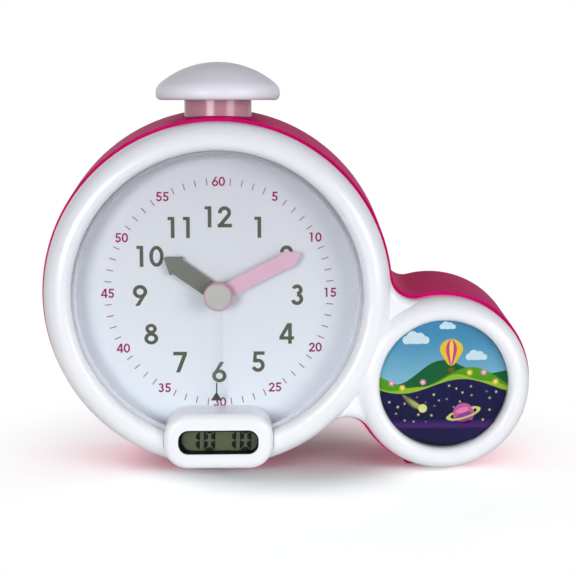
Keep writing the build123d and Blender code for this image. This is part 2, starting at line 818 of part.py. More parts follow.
with BuildPart() as button_dome:
    with BuildSketch(dome_half):
        with BuildLine():
            Line((0, dome_top - dome_wall), (0, dome_top))
            CenterArc((0, crown_z), dome_arc, 90, -degrees(atan2(dome_turn, rim_slope[0])))
            Spline([outer_knee, dome_rim], tangents=[rim_slope, (0, -1)])
            EllipticalCenterArc(
                (dome_bore[0], dome_rim_rise), *dome_lip, start_angle=-90, arc_size=90
            )
            Line((dome_bore[0], dome_rim_rise - dome_lip[1]), dome_bore)
            Spline([inner_knee, dome_bore], tangents=[rim_slope, (0, -1)])
            CenterArc((0, crown_z), inner_arc, 90, -degrees(atan2(dome_turn, rim_slope[0])))
        make_face()
    revolve(axis=dome_axis)
finish("button_dome", button_dome.part)

stem_bottom = guide_bottom + 6.5
rod_bottom = guide_bottom + 10.1
flange_top = dome_rim_rise - 0.8
with BuildPart() as button_stem:
    with BuildSketch(Plane.XY.offset(dial[1] + stem_bottom)):
        with Locations(dome_centre):
            Circle(stem_radius)
    extrude(amount=flange_top - stem_bottom)
    with BuildSketch(Plane.XY.offset(dial[1] + flange_top - 1.8)):
        with Locations(dome_centre):
            Circle(dome_bore[0] - fit_gap)
    extrude(amount=1.8)
    with BuildSketch(Plane.XY.offset(dial[1] + stem_floor + 2)):
        with Locations(dome_centre):
            Circle(stem_radius - stem_wall)
    extrude(amount=flange_top - stem_floor - 2, mode=Mode.SUBTRACT)
    with BuildSketch(Plane.XY.offset(dial[1] + stem_bottom)):
        with Locations(dome_centre):
            Circle(stem_radius - stem_wall)
    extrude(amount=stem_floor - stem_bottom, mode=Mode.SUBTRACT)
    with BuildSketch(Plane.XY.offset(dial[1] + rod_bottom)):
        with Locations(dome_centre):
            Circle(2.5)
    extrude(amount=stem_floor - rod_bottom + 1)
finish("button_stem", button_stem.part)

spring_radius = 11.0
spring_wire = 0.55
spring_length = stem_floor - spring_foot
with BuildPart() as button_spring:
    with BuildLine() as spring_path:
        Helix(
            pitch=(spring_length - 2 * spring_wire - 0.1) / 4,
            height=spring_length - 2 * spring_wire - 0.1,
            radius=spring_radius,
            center=(*dome_centre, dial[1] + spring_foot + spring_wire + 0.05),
        )
    with BuildSketch(Plane(origin=spring_path.line @ 0, z_dir=spring_path.line % 0)):
        RegularPolygon(spring_wire, 6)
    sweep(path=spring_path.line, is_frenet=True)
finish("button_spring", button_spring.part)

ears = [(dome_centre[0] + s * guide_ear, dome_centre[1]) for s in (-1, 1)]
with BuildPart() as button_base:
    with BuildSketch(Plane.XY.offset(dial[1] + guide_base)):
        with Locations(dome_centre):
            Circle(guide_inner + guide_wall)
        with Locations(*ears):
            Circle(small_boss_r + 0.6)
        with Locations(*ears):
            Circle(small_screw_r + 0.1, mode=Mode.SUBTRACT)
    extrude(amount=base_thickness)
finish("button_base", button_base.part)

with BuildPart() as button_board:
    with BuildSketch(Plane.XY.offset(dial[1] + guide_bottom)):
        with Locations(dome_centre):
            Rectangle(12, 12)
    extrude(amount=1.2)
finish("button_board", button_board.part)

with BuildPart() as button_switch:
    with BuildSketch(Plane.XY.offset(dial[1] + guide_bottom + 1.2)):
        with Locations(dome_centre):
            Rectangle(6.2, 6.2)
    extrude(amount=3.5)
    with BuildSketch(Plane.XY.offset(dial[1] + guide_bottom + 4.7)):
        with Locations(dome_centre):
            Circle(1.8)
    extrude(amount=rod_bottom - dome_travel - 0.1 - guide_bottom - 4.7)
finish("button_switch", button_switch.part)

# ---------------------------------------------------------------- main board
board_back = board_depth + board_thickness
with BuildPart() as main_board:
    with BuildSketch(facing(board_back)):
        with Locations(board_centre):
            RectangleRounded(*board_size, 1.5)
        with Locations(*board_holes):
            Circle(small_screw_r + 0.1, mode=Mode.SUBTRACT)
    extrude(amount=board_thickness)
finish("main_board", main_board.part)

with BuildPart() as board_components:
    with BuildSketch(facing(board_depth)):
        with Locations(beside(board_centre, -3, 3)):
            Rectangle(12, 12)
        with Locations(beside(board_centre, 12, -2)):
            Rectangle(5, 10)
        with Locations(beside(board_centre, -3, -11)):
            Rectangle(18, 4)
    extrude(amount=1.8)
    with BuildSketch(facing(board_depth)):
        with Locations(beside(board_centre, 13, 10), beside(board_centre, -14, -3)):
            Circle(2.8)
    extrude(amount=8)
    with BuildSketch(facing(board_depth)):
        with Locations(beside(board_centre, 14, -12), beside(board_centre, 0, 15.5)):
            Rectangle(9, 5)
    extrude(amount=5.5)
finish("board_components", board_components.part)

key_top = board_back + key_height
with BuildPart() as key_switches:
    with BuildSketch(facing(board_back + 3.5)):
        with Locations(*button_row):
            Rectangle(6, 6)
    extrude(amount=3.5)
    with BuildSketch(facing(key_top)):
        with Locations(*button_row):
            Circle(1.7)
    extrude(amount=key_height - 3.5)
finish("key_switches", key_switches.part)

for number, place in enumerate(button_row, 1):
    with BuildPart() as set_button:
        with BuildSketch(facing(housing_depth + button_proud)):
            with Locations(place):
                Circle(button_r)
        extrude(amount=button_proud + housing_wall + 0.4)
        fillet(set_button.faces().sort_by(Axis.Y)[-1].edges(), 0.6)
        with BuildSketch(facing(inner_depth - 0.4)):
            with Locations(place):
                Circle(button_r + 1)
        extrude(amount=1.6)
        with BuildSketch(facing(inner_depth - 2)):
            with Locations(place):
                Circle(1.6)
        extrude(amount=inner_depth - 2 - key_top - button_travel - 0.1)
    finish(f"set_button_{number}", set_button.part)

with BuildPart() as alarm_switch_body:
    with BuildSketch(facing(board_back + key_height)):
        with Locations(switch_centre):
            Rectangle(12, 6)
    extrude(amount=key_height)
finish("alarm_switch_body", alarm_switch_body.part)

knob_rest = beside(switch_centre, -switch_travel / 2, 0)
with BuildPart() as alarm_switch_knob:
    with BuildSketch(facing(housing_depth + 2)):
        with Locations(knob_rest):
            RectangleRounded(switch_stem, switch_stem, 0.5)
    extrude(amount=housing_depth + 2 - board_back - key_height - slide_gap)
    with BuildSketch(facing(inner_depth - 0.5)):
        with Locations(knob_rest):
            Rectangle(*switch_flange)
    extrude(amount=1.2)
finish("alarm_switch_knob", alarm_switch_knob.part)

# ---------------------------------------------------------------- speaker
with BuildPart() as speaker_basket:
    with BuildSketch(axial(speaker)):
        Polygon(
            (0, -(inner_depth - speaker_depth)),
            (9, -(inner_depth - speaker_depth)),
            (9, -(inner_depth - speaker_depth + 4.5)),
            (11, -(inner_depth - speaker_depth + 4.5)),
            (speaker_radius - 1.5, -(inner_depth - 1.6)),
            (speaker_radius, -(inner_depth - 1.6)),
            (speaker_radius, -inner_depth),
            (speaker_radius - 3, -inner_depth),
            (speaker_radius - 3, -(inner_depth - 1.2)),
            (10, -(inner_depth - speaker_depth + 5.6)),
            (0, -(inner_depth - speaker_depth + 5.6)),
            align=None,
        )
    revolve(axis=spin(speaker))
finish("speaker_basket", speaker_basket.part)

with BuildPart() as speaker_cone:
    with BuildSketch(axial(speaker)):
        Polygon(
            (0, -(inner_depth - speaker_depth + 6.6)),
            (4.5, -(inner_depth - speaker_depth + 6.0)),
            (speaker_radius - 4.5, -(inner_depth - 1.2)),
            (speaker_radius - 3, -(inner_depth - 1.2)),
            (speaker_radius - 3, -(inner_depth - 0.6)),
            (speaker_radius - 4.8, -(inner_depth - 0.6)),
            (4.4, -(inner_depth - speaker_depth + 6.8)),
            (0, -(inner_depth - speaker_depth + 8.0)),
            align=None,
        )
    revolve(axis=spin(speaker))
finish("speaker_cone", speaker_cone.part)

# ---------------------------------------------------------------- batteries
tray_middle = beside(bay_centre, 0, (tray_top - tray_bottom) / 2)
tray_inner_height = tray_top + tray_bottom
cell_depth = tray_floor_depth + tray_wall + 0.25 + cell_radius
plate_metal = 0.6
nub_reach = tray_inner_width / 2 - plate_metal
cell_right = nub_reach - cell_nub
cell_left = cell_right - cell_length
cell_rows = [(cell_pitch, 1), (0, -1), (-cell_pitch, 1)]

with BuildPart() as battery_tray:
    with BuildSketch(facing(inner_depth - tray_rim_gap)):
        with Locations(tray_middle):
            RectangleRounded(
                tray_inner_width + 2 * tray_wall, tray_inner_height + 2 * tray_wall, 2
            )
    extrude(amount=inner_depth - tray_rim_gap - tray_floor_depth)
    with BuildSketch(facing(inner_depth - tray_rim_gap)):
        with Locations(tray_middle):
            Rectangle(tray_inner_width, tray_inner_height)
    extrude(
        amount=inner_depth - tray_rim_gap - tray_floor_depth - tray_wall, mode=Mode.SUBTRACT
    )
    with BuildSketch(facing(tray_floor_depth + tray_wall)):
        with Locations(*tray_ears):
            Circle(small_boss_r)
        for side in (-1, 1):
            with Locations(beside(bay_centre, side * (ear_spread - ear_reach / 2 - 0.4), 0)):
                Rectangle(ear_reach, 2 * small_boss_r)
        with Locations(*tray_ears):
            Circle(small_screw_r + 0.1, mode=Mode.SUBTRACT)
    extrude(amount=tray_wall)
finish("battery_tray", battery_tray.part)

for number, (rise, way) in enumerate(cell_rows, 1):
    with BuildPart() as battery:
        cell_plane = Plane(
            origin=(dial[0] + way * cell_left, seam_y + cell_depth, bay_centre[1] + rise),
            x_dir=(0, 1, 0),
            z_dir=(way, 0, 0),
        )
        with BuildSketch(cell_plane):
            Circle(cell_radius)
        extrude(amount=cell_length)
        with BuildSketch(cell_plane.offset(cell_length)):
            Circle(2.75)
        extrude(amount=cell_nub)
    finish(f"battery_{number}", battery.part)

leaf_reach = tray_inner_width / 2 + cell_left
with BuildPart() as contact_springs:
    for rise, way in cell_rows:
        wall_x = -way * tray_inner_width / 2
        with BuildSketch(facing(cell_depth + 4)):
            leaf = [
                (0, 5.0),
                (leaf_reach, 0.9),
                (leaf_reach, -0.9),
                (0, -5.0),
                (0, -4.2),
                (leaf_reach - 0.6, -0.5),
                (leaf_reach - 0.6, 0.5),
                (0, 4.2),
            ]
            Polygon(
                *[beside(bay_centre, wall_x + way * u, rise + v) for u, v in leaf], align=None
            )
        extrude(amount=8)
finish("contact_springs", contact_springs.part)

with BuildPart() as contact_plates:
    for rise, way in cell_rows:
        with BuildSketch(facing(cell_depth + 4.5)):
            with Locations(beside(bay_centre, way * (nub_reach + plate_metal / 2), rise)):
                Rectangle(plate_metal, 10)
        extrude(amount=9)
finish("contact_plates", contact_plates.part)

door_top = beside(bay_centre, 0, door_height / 2)
door_screw_at = beside(bay_centre, 0, -door_height / 2 - door_screw_drop)
tab_gap = 0.3
tab_spread = door_width / 2 - 12.8
tab_thickness = 1.2
tab_depth = inner_depth - tab_gap
with BuildPart() as battery_door:
    with BuildSketch(facing(housing_depth)):
        with Locations(bay_centre):
            RectangleRounded(door_width, door_height, 1.2)
    extrude(amount=door_thickness)
    with BuildSketch(facing(housing_depth)):
        with Locations(beside(bay_centre, 0, -door_height / 2 - door_tongue[1] / 2 + 1)):
            RectangleRounded(door_tongue[0], door_tongue[1] + 2, 2.7)
    extrude(amount=door_tongue_thickness)
    with BuildSketch(facing(tab_depth)):
        with Locations(*[beside(door_top, s * tab_spread, -0.05) for s in (-1, 1)]):
            Rectangle(8, 5.5)
    extrude(amount=tab_thickness)
    with BuildSketch(facing(housing_depth - door_thickness + 0.2)):
        with Locations(*[beside(door_top, s * tab_spread, -1.8) for s in (-1, 1)]):
            Rectangle(8, 2)
    extrude(amount=housing_depth - door_thickness + 0.2 - tab_depth + tab_thickness)
    with BuildSketch(facing(housing_depth)):
        with Locations(*[beside(bay_centre, 0, -8 - 4 * n) for n in range(4)]):
            Rectangle(16, 1.2)
    extrude(amount=0.6, mode=Mode.SUBTRACT)
    with BuildSketch(facing(housing_depth)):
        with Locations(door_screw_at):
            Circle(door_screw_r + fit_gap)
    extrude(amount=door_thickness, mode=Mode.SUBTRACT)
finish("battery_door", battery_door.part)

with BuildPart() as door_screw:
    with BuildSketch(facing(housing_depth + 1.4)):
        with Locations(door_screw_at):
            Circle(2.4)
    extrude(amount=1.4)
    with BuildSketch(facing(housing_depth)):
        with Locations(door_screw_at):
            Circle(door_screw_r)
    extrude(amount=4.4)
    with BuildSketch(facing(housing_depth + 1.4)):
        with Locations(door_screw_at):
            Rectangle(3.2, 0.7)
            Rectangle(0.7, 3.2)
    extrude(amount=0.7, mode=Mode.SUBTRACT)
finish("door_screw", door_screw.part)

# ---------------------------------------------------------------- movement
arbor_r = 0.5
motion_arbor_r = 0.9
layer_start = plate_thickness + case_plate + 0.3
layer_step = 1.4
gear_width = 1.0
arbor_front = plate_thickness + 0.6
arbor_back = case_depth + 0.8
centre_module = 0.425
second_module = 0.65
fifth_module = 0.4
third_distance = centre_module * (48 + 6) / 2
third_module = 2 * third_distance / (45 + 6)
fifth_distance = second_module * (30 + 6) / 2
rotor_distance = fifth_module * (36 + 6) / 2
third_angle = 150.0
fifth_angle = 30.0
rotor_angle = 80.0              # from the fifth arbor to the rotor
third_arbor = around(dial, third_distance, third_angle)
fifth_arbor = around(dial, fifth_distance, fifth_angle)
rotor_arbor = around(fifth_arbor, rotor_distance, rotor_angle)


def layer(number):
    """Sketch plane at the back of one layer of the gear train."""
    return facing(layer_start + number * layer_step + gear_width)


def teeth_ring(centre, teeth, module, pointing, wheel=True):
    """Plain trapezoid teeth, with the middle of one tooth along an angle."""
    root_share, tip_share, top, bottom = 0.42, 0.18, 0.65, 1.2
    if wheel:
        root_share, tip_share, top, bottom = 0.55, 0.16, 0.85, 1.15
    tip = module * (teeth / 2 + top)
    root = module * (teeth / 2 - bottom)
    pitch = 360 / teeth
    points = []
    for tooth in range(teeth):
        middle = pointing + tooth * pitch
        points.append(around(centre, root, middle - pitch * root_share / 2))
        points.append(around(centre, tip, middle - pitch * tip_share / 2))
        points.append(around(centre, tip, middle + pitch * tip_share / 2))
        points.append(around(centre, root, middle + pitch * root_share / 2))
    Polygon(*points, align=None)


def arbor_sketch(centre, radius, start, end):
    """Round bar between two depths."""
    with BuildPart() as bar:
        with BuildSketch(facing(end)):
            with Locations(centre):
                Circle(radius)
        extrude(amount=end - start)
    return bar.part


def gap_angle(teeth, towards):
    """Pointing angle that leaves a gap between teeth along one direction."""
    return towards + 180 / teeth


hour_bar = arbor_sketch(dial, hour_tube_r, -(hour_hand_height + hand_thickness), layer_start + 0.2)
minute_top = -(minute_hand_height + hand_thickness)
minute_bar = arbor_sketch(dial, minute_tube_r, minute_top, layer_start + 2 * layer_step + 0.2)
second_bar = arbor_sketch(dial, second_arbor_r, -(cap_base + 1.3), arbor_back)
third_bar = arbor_sketch(third_arbor, arbor_r, arbor_front, arbor_back)
fifth_bar = arbor_sketch(fifth_arbor, arbor_r, arbor_front, arbor_back)
rotor_bar = arbor_sketch(rotor_arbor, arbor_r, arbor_front, arbor_back)
motion_bar = arbor_sketch(motion_arbor, motion_arbor_r, arbor_front, case_depth - 1)

with BuildPart() as hour_wheel:
    with BuildSketch(layer(0)):
        teeth_ring(dial, 32, motion_module, motion_angle)
    extrude(amount=gear_width)
    add(hour_bar)
    with BuildSketch(layer(0)):
        with Locations(dial):
            Circle(minute_tube_r + shaft_gap)
    extrude(amount=20, mode=Mode.SUBTRACT)
finish("hour_wheel", hour_wheel.part)

with BuildPart() as centre_wheel:
    with BuildSketch(layer(2)):
        teeth_ring(dial, 48, centre_module, third_angle)
    extrude(amount=gear_width)
    with BuildSketch(layer(1)):
        teeth_ring(dial, 10, motion_module, gap_angle(10, motion_angle), wheel=False)
    extrude(amount=gear_width)
    add(minute_bar)
    with BuildSketch(layer(2)):
        with Locations(dial):
            Circle(second_arbor_r + shaft_gap)
    extrude(amount=20, mode=Mode.SUBTRACT)
finish("centre_wheel", centre_wheel.part)

with BuildPart() as second_wheel:
    add(second_bar)
    with BuildSketch(layer(3)):
        teeth_ring(dial, 6, third_module, gap_angle(6, third_angle), wheel=False)
    extrude(amount=gear_width)
    with BuildSketch(layer(4)):
        teeth_ring(dial, 30, second_module, fifth_angle)
    extrude(amount=gear_width)
finish("second_wheel", second_wheel.part)

with BuildPart() as third_wheel:
    add(third_bar)
    with BuildSketch(layer(2)):
        teeth_ring(third_arbor, 6, centre_module, gap_angle(6, third_angle - 180), wheel=False)
    extrude(amount=gear_width)
    with BuildSketch(layer(3)):
        teeth_ring(third_arbor, 45, third_module, third_angle - 180)
    extrude(amount=gear_width)
finish("third_wheel", third_wheel.part)

with BuildPart() as fifth_wheel:
    add(fifth_bar)
    with BuildSketch(layer(4)):
        teeth_ring(fifth_arbor, 6, second_module, gap_angle(6, fifth_angle + 180), wheel=False)
    extrude(amount=gear_width)
    with BuildSketch(layer(5)):
        teeth_ring(fifth_arbor, 36, fifth_module, rotor_angle)
    extrude(amount=gear_width)
finish("fifth_wheel", fifth_wheel.part)

magnet_r = 2.6
magnet_depth = (11.8, 13.6)
with BuildPart() as rotor:
    add(rotor_bar)
    with BuildSketch(layer(5)):
        teeth_ring(rotor_arbor, 6, fifth_module, gap_angle(6, rotor_angle + 180), wheel=False)
    extrude(amount=gear_width)
    with BuildSketch(facing(magnet_depth[1])):
        with Locations(rotor_arbor):
            Circle(magnet_r)
    extrude(amount=magnet_depth[1] - magnet_depth[0])
finish("rotor", rotor.part)

with BuildPart() as motion_wheel:
    add(motion_bar)
    with BuildSketch(layer(1)):
        teeth_ring(motion_arbor, 30, motion_module, motion_angle + 180)
    extrude(amount=gear_width)
    with BuildSketch(layer(0)):
        teeth_ring(motion_arbor, 8, motion_module, gap_angle(8, motion_angle + 180), wheel=False)
    extrude(amount=gear_width)
finish("motion_wheel", motion_wheel.part)

shaft_front = case_depth - 3.8
with BuildPart() as time_set_knob:
    with BuildSketch(facing(housing_depth + knob_gap + knob_height)):
        with Locations(motion_arbor):
            Circle(knob_radius)
            with PolarLocations(knob_radius + 0.4, 20):
                Circle(0.9, mode=Mode.SUBTRACT)
    extrude(amount=knob_height)
    with BuildSketch(facing(housing_depth + knob_gap)):
        with Locations(motion_arbor):
            Circle(knob_shaft_r)
    extrude(amount=housing_depth + knob_gap - shaft_front)
    with BuildSketch(facing(case_depth - 1)):
        with Locations(motion_arbor):
            Circle(motion_arbor_r)
    extrude(amount=case_depth - 1 - shaft_front, mode=Mode.SUBTRACT)
finish("time_set_knob", time_set_knob.part)

pivots = [third_arbor, fifth_arbor, rotor_arbor]
with BuildPart() as movement_case_front:
    with BuildSketch(facing(case_depth)):
        with Locations(dial):
            RectangleRounded(2 * case_half, 2 * case_half, 4)
    extrude(amount=case_depth - plate_thickness)
    with BuildSketch(facing(case_depth)):
        with Locations(dial):
            RectangleRounded(2 * case_half - 2.8, 2 * case_half - 2.8, 2.6)
    extrude(amount=case_depth - plate_thickness - case_plate, mode=Mode.SUBTRACT)
    with BuildSketch(facing(plate_thickness + case_plate)):
        with Locations(dial):
            Circle(bush_r)
    extrude(amount=plate_thickness + case_plate + 1)
    with BuildSketch(facing(plate_thickness + case_plate)):
        with Locations(dial):
            Circle(hour_tube_r + shaft_gap)
        with Locations(*pivots):
            Circle(arbor_r + shaft_gap)
        with Locations(motion_arbor):
            Circle(motion_arbor_r + shaft_gap)
    extrude(amount=plate_thickness + case_plate + 1, mode=Mode.SUBTRACT)
finish("movement_case_front", movement_case_front.part)

stator_depth = (12.2, 13.0)
stator_window = beside(dial, -5.5, 16.2)
stator_pegs = [beside(dial, -19.2, 11.8), beside(dial, -19.2, 21.4), beside(dial, 13.5, 21.6)]
with BuildPart() as movement_case_rear:
    with BuildSketch(facing(case_back)):
        with Locations(dial):
            RectangleRounded(2 * case_half, 2 * case_half, 4)
    extrude(amount=case_plate)
    with BuildSketch(facing(case_depth)):
        with Locations(*stator_pegs):
            Circle(1.2)
    extrude(amount=case_depth - stator_depth[1])
    with BuildSketch(facing(case_back)):
        with Locations(dial):
            Circle(second_arbor_r + shaft_gap)
        with Locations(*pivots):
            Circle(arbor_r + shaft_gap)
        with Locations(motion_arbor):
            Circle(knob_shaft_r + shaft_gap)
    extrude(amount=case_plate, mode=Mode.SUBTRACT)
finish("movement_case_rear", movement_case_rear.part)

with BuildPart() as stator:
    with BuildSketch(facing(stator_depth[1])):
        with Locations(beside(dial, -2.25, 16.9)):
            Rectangle(37.5, 14.2)
        with Locations(stator_window):
            Rectangle(24, 5.2, mode=Mode.SUBTRACT)
        with Locations(rotor_arbor):
            Circle(magnet_r + 0.5, mode=Mode.SUBTRACT)
    extrude(amount=stator_depth[1] - stator_depth[0])
finish("stator", stator.part)

coil_middle = (stator_depth[0] + stator_depth[1]) / 2
coil_plane = Plane(
    origin=(dial[0] - 16, seam_y + coil_middle, dial[1] + 21.4),
    x_dir=(0, 1, 0),
    z_dir=(1, 0, 0),
)
with BuildPart() as coil:
    with BuildSketch(coil_plane):
        RectangleRounded(6, 10, 1.5)
        Rectangle(1.2, 5.6, mode=Mode.SUBTRACT)
    extrude(amount=21)
finish("coil", coil.part)

# ---------------------------------------------------------------- fasteners
with BuildPart() as housing_screws:
    with BuildSketch(facing(screw_seat + screw_head)):
        with Locations(*dial_posts, *lamp_posts):
            Circle(screw_head_r)
    extrude(amount=screw_head)
    with BuildSketch(facing(screw_seat)):
        with Locations(*dial_posts, *lamp_posts):
            Circle(housing_screw_r)
    extrude(amount=screw_seat + 5)
finish("housing_screws", housing_screws.part)

forward_screws = [(plate_thickness, place) for place in plate_posts]
forward_screws += [(flange_depth[1], place) for place in box_posts]
forward_screws += [(tube_back + led_board_thickness, place) for place in led_posts]
forward_screws += [(-(carrier_back - lcd_board_thickness), place) for place in pod_posts]
backward_screws = [(tray_floor_depth, place) for place in tray_ears]
backward_screws += [(board_depth, place) for place in board_holes]
with BuildPart() as small_screws:
    for seat, place in forward_screws:
        with BuildSketch(facing(seat + small_head)):
            with Locations(place):
                Circle(small_head_r)
        extrude(amount=small_head)
        with BuildSketch(facing(seat)):
            with Locations(place):
                Circle(small_screw_r)
        extrude(amount=small_shank)
    for seat, place in backward_screws:
        with BuildSketch(facing(seat)):
            with Locations(place):
                Circle(small_head_r)
        extrude(amount=small_head)
        with BuildSketch(facing(seat + small_shank)):
            with Locations(place):
                Circle(small_screw_r)
        extrude(amount=small_shank)
    with BuildSketch(Plane.XY.offset(dial[1] + guide_base - small_head)):
        with Locations(*ears):
            Circle(small_head_r)
    extrude(amount=small_head)
    with BuildSketch(Plane.XY.offset(dial[1] + guide_base)):
        with Locations(*ears):
            Circle(small_screw_r)
    extrude(amount=small_shank)
finish("small_screws", small_screws.part)
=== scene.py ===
"""Kids alarm clock with a night light: finishes, dial print, display, picture disc and studio.

The file is laid out as an add-on and run as a script.  Everything is in metres in the
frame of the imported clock: +Z is up, the dial faces -Y, and the clock stands on Z = 0.
"""

import math

import bmesh
import bpy
from bpy.props import FloatProperty, FloatVectorProperty, IntProperty, PointerProperty
from bpy.types import Operator, Panel, PropertyGroup
from mathutils import Matrix, Vector
from mathutils.geometry import delaunay_2d_cdt


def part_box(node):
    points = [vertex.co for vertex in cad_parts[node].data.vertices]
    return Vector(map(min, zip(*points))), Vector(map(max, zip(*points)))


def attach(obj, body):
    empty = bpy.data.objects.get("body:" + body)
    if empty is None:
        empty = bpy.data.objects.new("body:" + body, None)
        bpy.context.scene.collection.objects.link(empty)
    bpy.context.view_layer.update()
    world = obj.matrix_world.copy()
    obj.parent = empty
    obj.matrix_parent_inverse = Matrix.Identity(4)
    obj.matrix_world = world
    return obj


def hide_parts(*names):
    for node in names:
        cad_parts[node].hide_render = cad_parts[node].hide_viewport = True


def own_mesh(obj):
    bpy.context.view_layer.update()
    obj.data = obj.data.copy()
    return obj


bl_info = {
    "name": "Kids alarm clock",
    "version": (1, 0, 0),
    "blender": (4, 5, 0),
    "location": "3D View > Sidebar > Clock",
    "description": "Finishes, dial print, display digits, picture disc and studio for the clock",
    "category": "Object",
}

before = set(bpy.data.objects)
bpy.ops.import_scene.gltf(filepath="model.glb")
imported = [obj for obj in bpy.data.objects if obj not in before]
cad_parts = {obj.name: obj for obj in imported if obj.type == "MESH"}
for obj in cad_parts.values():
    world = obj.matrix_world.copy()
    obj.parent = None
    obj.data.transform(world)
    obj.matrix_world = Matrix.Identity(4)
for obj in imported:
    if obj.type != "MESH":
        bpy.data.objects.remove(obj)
MM = 0.001


def middle(node):
    """Centre of a node's box."""
    low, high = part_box(node)
    return Vector([(a + b) / 2 for a, b in zip(low, high)])


def front_of(node):
    """Y of the face nearest the viewer."""
    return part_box(node)[0][1]


DIAL = middle("hub_cap")
LAMP = middle("picture_film")


def tint(red, green, blue):
    """Linear colour from red, green and blue given as 0 to 255."""
    parts = [part / 255 for part in (red, green, blue)]
    return (*[p / 12.92 if p <= 0.04045 else ((p + 0.055) / 1.055) ** 2.4 for p in parts], 1.0)


def shade(colour, amount):
    """The same colour, darker below 1 and lighter above it."""
    return (*[min(1.0, part * amount) for part in colour[:3]], 1.0)


# ------------------------------------------------------------------ settings
def distance(name, description, default):
    """A length, with its default in millimetres."""
    return FloatProperty(
        name=name, description=description, default=default * MM, unit="LENGTH", precision=5
    )


def swatch(name, description, colour):
    """A colour of the clock."""
    return FloatVectorProperty(
        name=name, description=description, default=colour[:3], size=3, subtype="COLOR"
    )


def shift(name, description, across, up):
    """A step across and up the dial, with its default in millimetres."""
    return FloatVectorProperty(
        name=name, description=description, default=(across * MM, up * MM),
        size=2, unit="LENGTH", precision=5,
    )


def power(name, description, default):
    """The power of a lamp."""
    return FloatProperty(name=name, description=description, default=default, unit="POWER")


def full(colour):
    """A settings colour with its alpha."""
    return (*colour, 1)


class ShellSettings(PropertyGroup):
    rise: distance("Rise of the wall", "Rise of the upper wall at its back edge", 1.8)
    white: swatch("White shell", "Front moulding, pod and stem", tint(248, 248, 253))
    # Painted shade: the front moulding turns to this darker white towards the top of the clock.
    crown: swatch("White crown", "Top of the front moulding", tint(232, 232, 241))
    dome: swatch("Dome", "Lilac white of the push dome", tint(230, 226, 238))
    # Painted reflection: the stem is white plastic, and this rose stands in for the magenta shell
    # reflected in it.
    stem: swatch("Stem", "Rose of the dome's stem", tint(188, 132, 152))
    magenta: swatch("Magenta shell", "Rear housing and its controls", tint(214, 0, 110))
    gloss: FloatProperty(name="Gloss", description="Roughness of the shells", default=0.3)


class DialSettings(PropertyGroup):
    sheet: swatch("Dial sheet", "Ground colour of the dial", tint(234, 240, 248))
    # Painted shade: the dial's ground turns to this greyer colour towards its top.
    sheet_shaded_top: swatch("Dial top", "Greyer ground at the top of the dial", tint(208, 207, 215))
    hour_colour: swatch("Hour numerals", "Ink of the hour numerals", tint(88, 88, 74))
    minute_colour: swatch("Minute numerals", "Ink of the minute numerals", tint(150, 0, 84))
    tick_colour: swatch("Ticks", "Ink of the minute ticks", tint(158, 106, 132))
    hour_height: distance("Hour height", "Height of the hour numerals", 9.7)
    hour_ring: distance("Hour ring", "Radius of the ring of hour numerals", 36.1)
    hour_shift: shift("Hour shift", "Hour ring from the arbor", 0.25, -0.45)
    minute_height: distance("Minute height", "Height of the minute numerals", 4.3)
    minute_ring: distance("Minute ring", "Radius of the ring of minute numerals and ticks", 51.2)
    minute_shift: shift("Minute shift", "Minute ring from the arbor", 0.45, 0.6)
    tick_length: distance("Tick length", "Length of a tick", 3.2)
    tick_width: distance("Tick width", "Width of a tick", 0.48)
    ink: distance("Ink", "Thickness of the printed ink", 0.03)


class HandSettings(PropertyGroup):
    grey: swatch("Hour hand", "Paint of the hour hand", tint(107, 107, 101))
    pink: swatch("Minute hand", "Paint of the minute hand", tint(219, 175, 197))
    line_width: distance("Line width", "Width of the line on the second hand", 0.65)
    line_start: distance("Line start", "Radius at which the line begins", 40.0)
    mark_inner: distance("Mark inner", "Radius at the point of the mark", 44.2)
    mark_outer: distance("Mark outer", "Radius at the wide end of the mark", 48.4)
    mark_width: distance("Mark width", "Width of the mark", 5.1)


class DisplaySettings(PropertyGroup):
    panel: swatch("Panel", "Olive grey of the display", tint(88, 95, 72))
    segment: swatch("Segment", "Dark segments", tint(4, 5, 4))
    digit_height: distance("Digit height", "Height of a digit", 9.5)
    digit_width: distance("Digit width", "Width of a digit", 5.3)
    digit_pitch: distance("Digit pitch", "From one digit to the next of a pair", 6.97)
    pair_pitch: distance("Pair pitch", "From the hours to the minutes", 16.4)
    stroke: distance("Stroke", "Width of a segment", 1.95)
    gap: distance("Gap", "Cut between two segments", 0.42)
    slant: FloatProperty(name="Slant", description="Lean of the digits", default=0.03)


class PictureSettings(PropertyGroup):
    reach: distance("Reach", "Radius of the printed picture", 30.6)
    layer: distance("Layer", "Thickness of one layer of ink", 0.022)
    dots: IntProperty(name="Dots", description="Number of light dots in the night", default=46)
    seed: IntProperty(name="Seed", description="Arrangement of the dots", default=4)


class StudioSettings(PropertyGroup):
    focal: FloatProperty(
        name="Focal length", description="Camera lens", default=85.0, unit="CAMERA"
    )
    eye: FloatVectorProperty(
        name="Camera", description="Camera position",
        default=(-0.0203, -0.6393, 0.1707), unit="LENGTH",
    )
    pitch: FloatProperty(
        name="Pitch", description="Camera tilt below level", default=0.1369, subtype="ANGLE"
    )
    yaw: FloatProperty(
        name="Yaw", description="Camera turn to the right", default=0.0326, subtype="ANGLE"
    )
    key: power("Key", "Power of the key light", 9.0)
    fill: power("Fill", "Power of the fill light", 8.4)
    back: power("Back", "Power of the light behind", 0.7)
    top: power("Top", "Power of the top light", 0.6)
    ambient: FloatProperty(name="Ambient", description="Even light all round", default=0.33)


# ------------------------------------------------------------------ node trees
def add_node(tree, kind, settings, values):
    """Adds a node: its settings first, then the values or links of its sockets."""
    made = tree.nodes.new(kind)
    for key, value in (settings or {}).items():
        setattr(made, key, value)
    for key, value in (values or {}).items():
        value = getattr(value, "socket", value)
        if isinstance(value, bpy.types.NodeSocket):
            tree.links.new(value, made.inputs[key])
        else:
            made.inputs[key].default_value = value
    return made


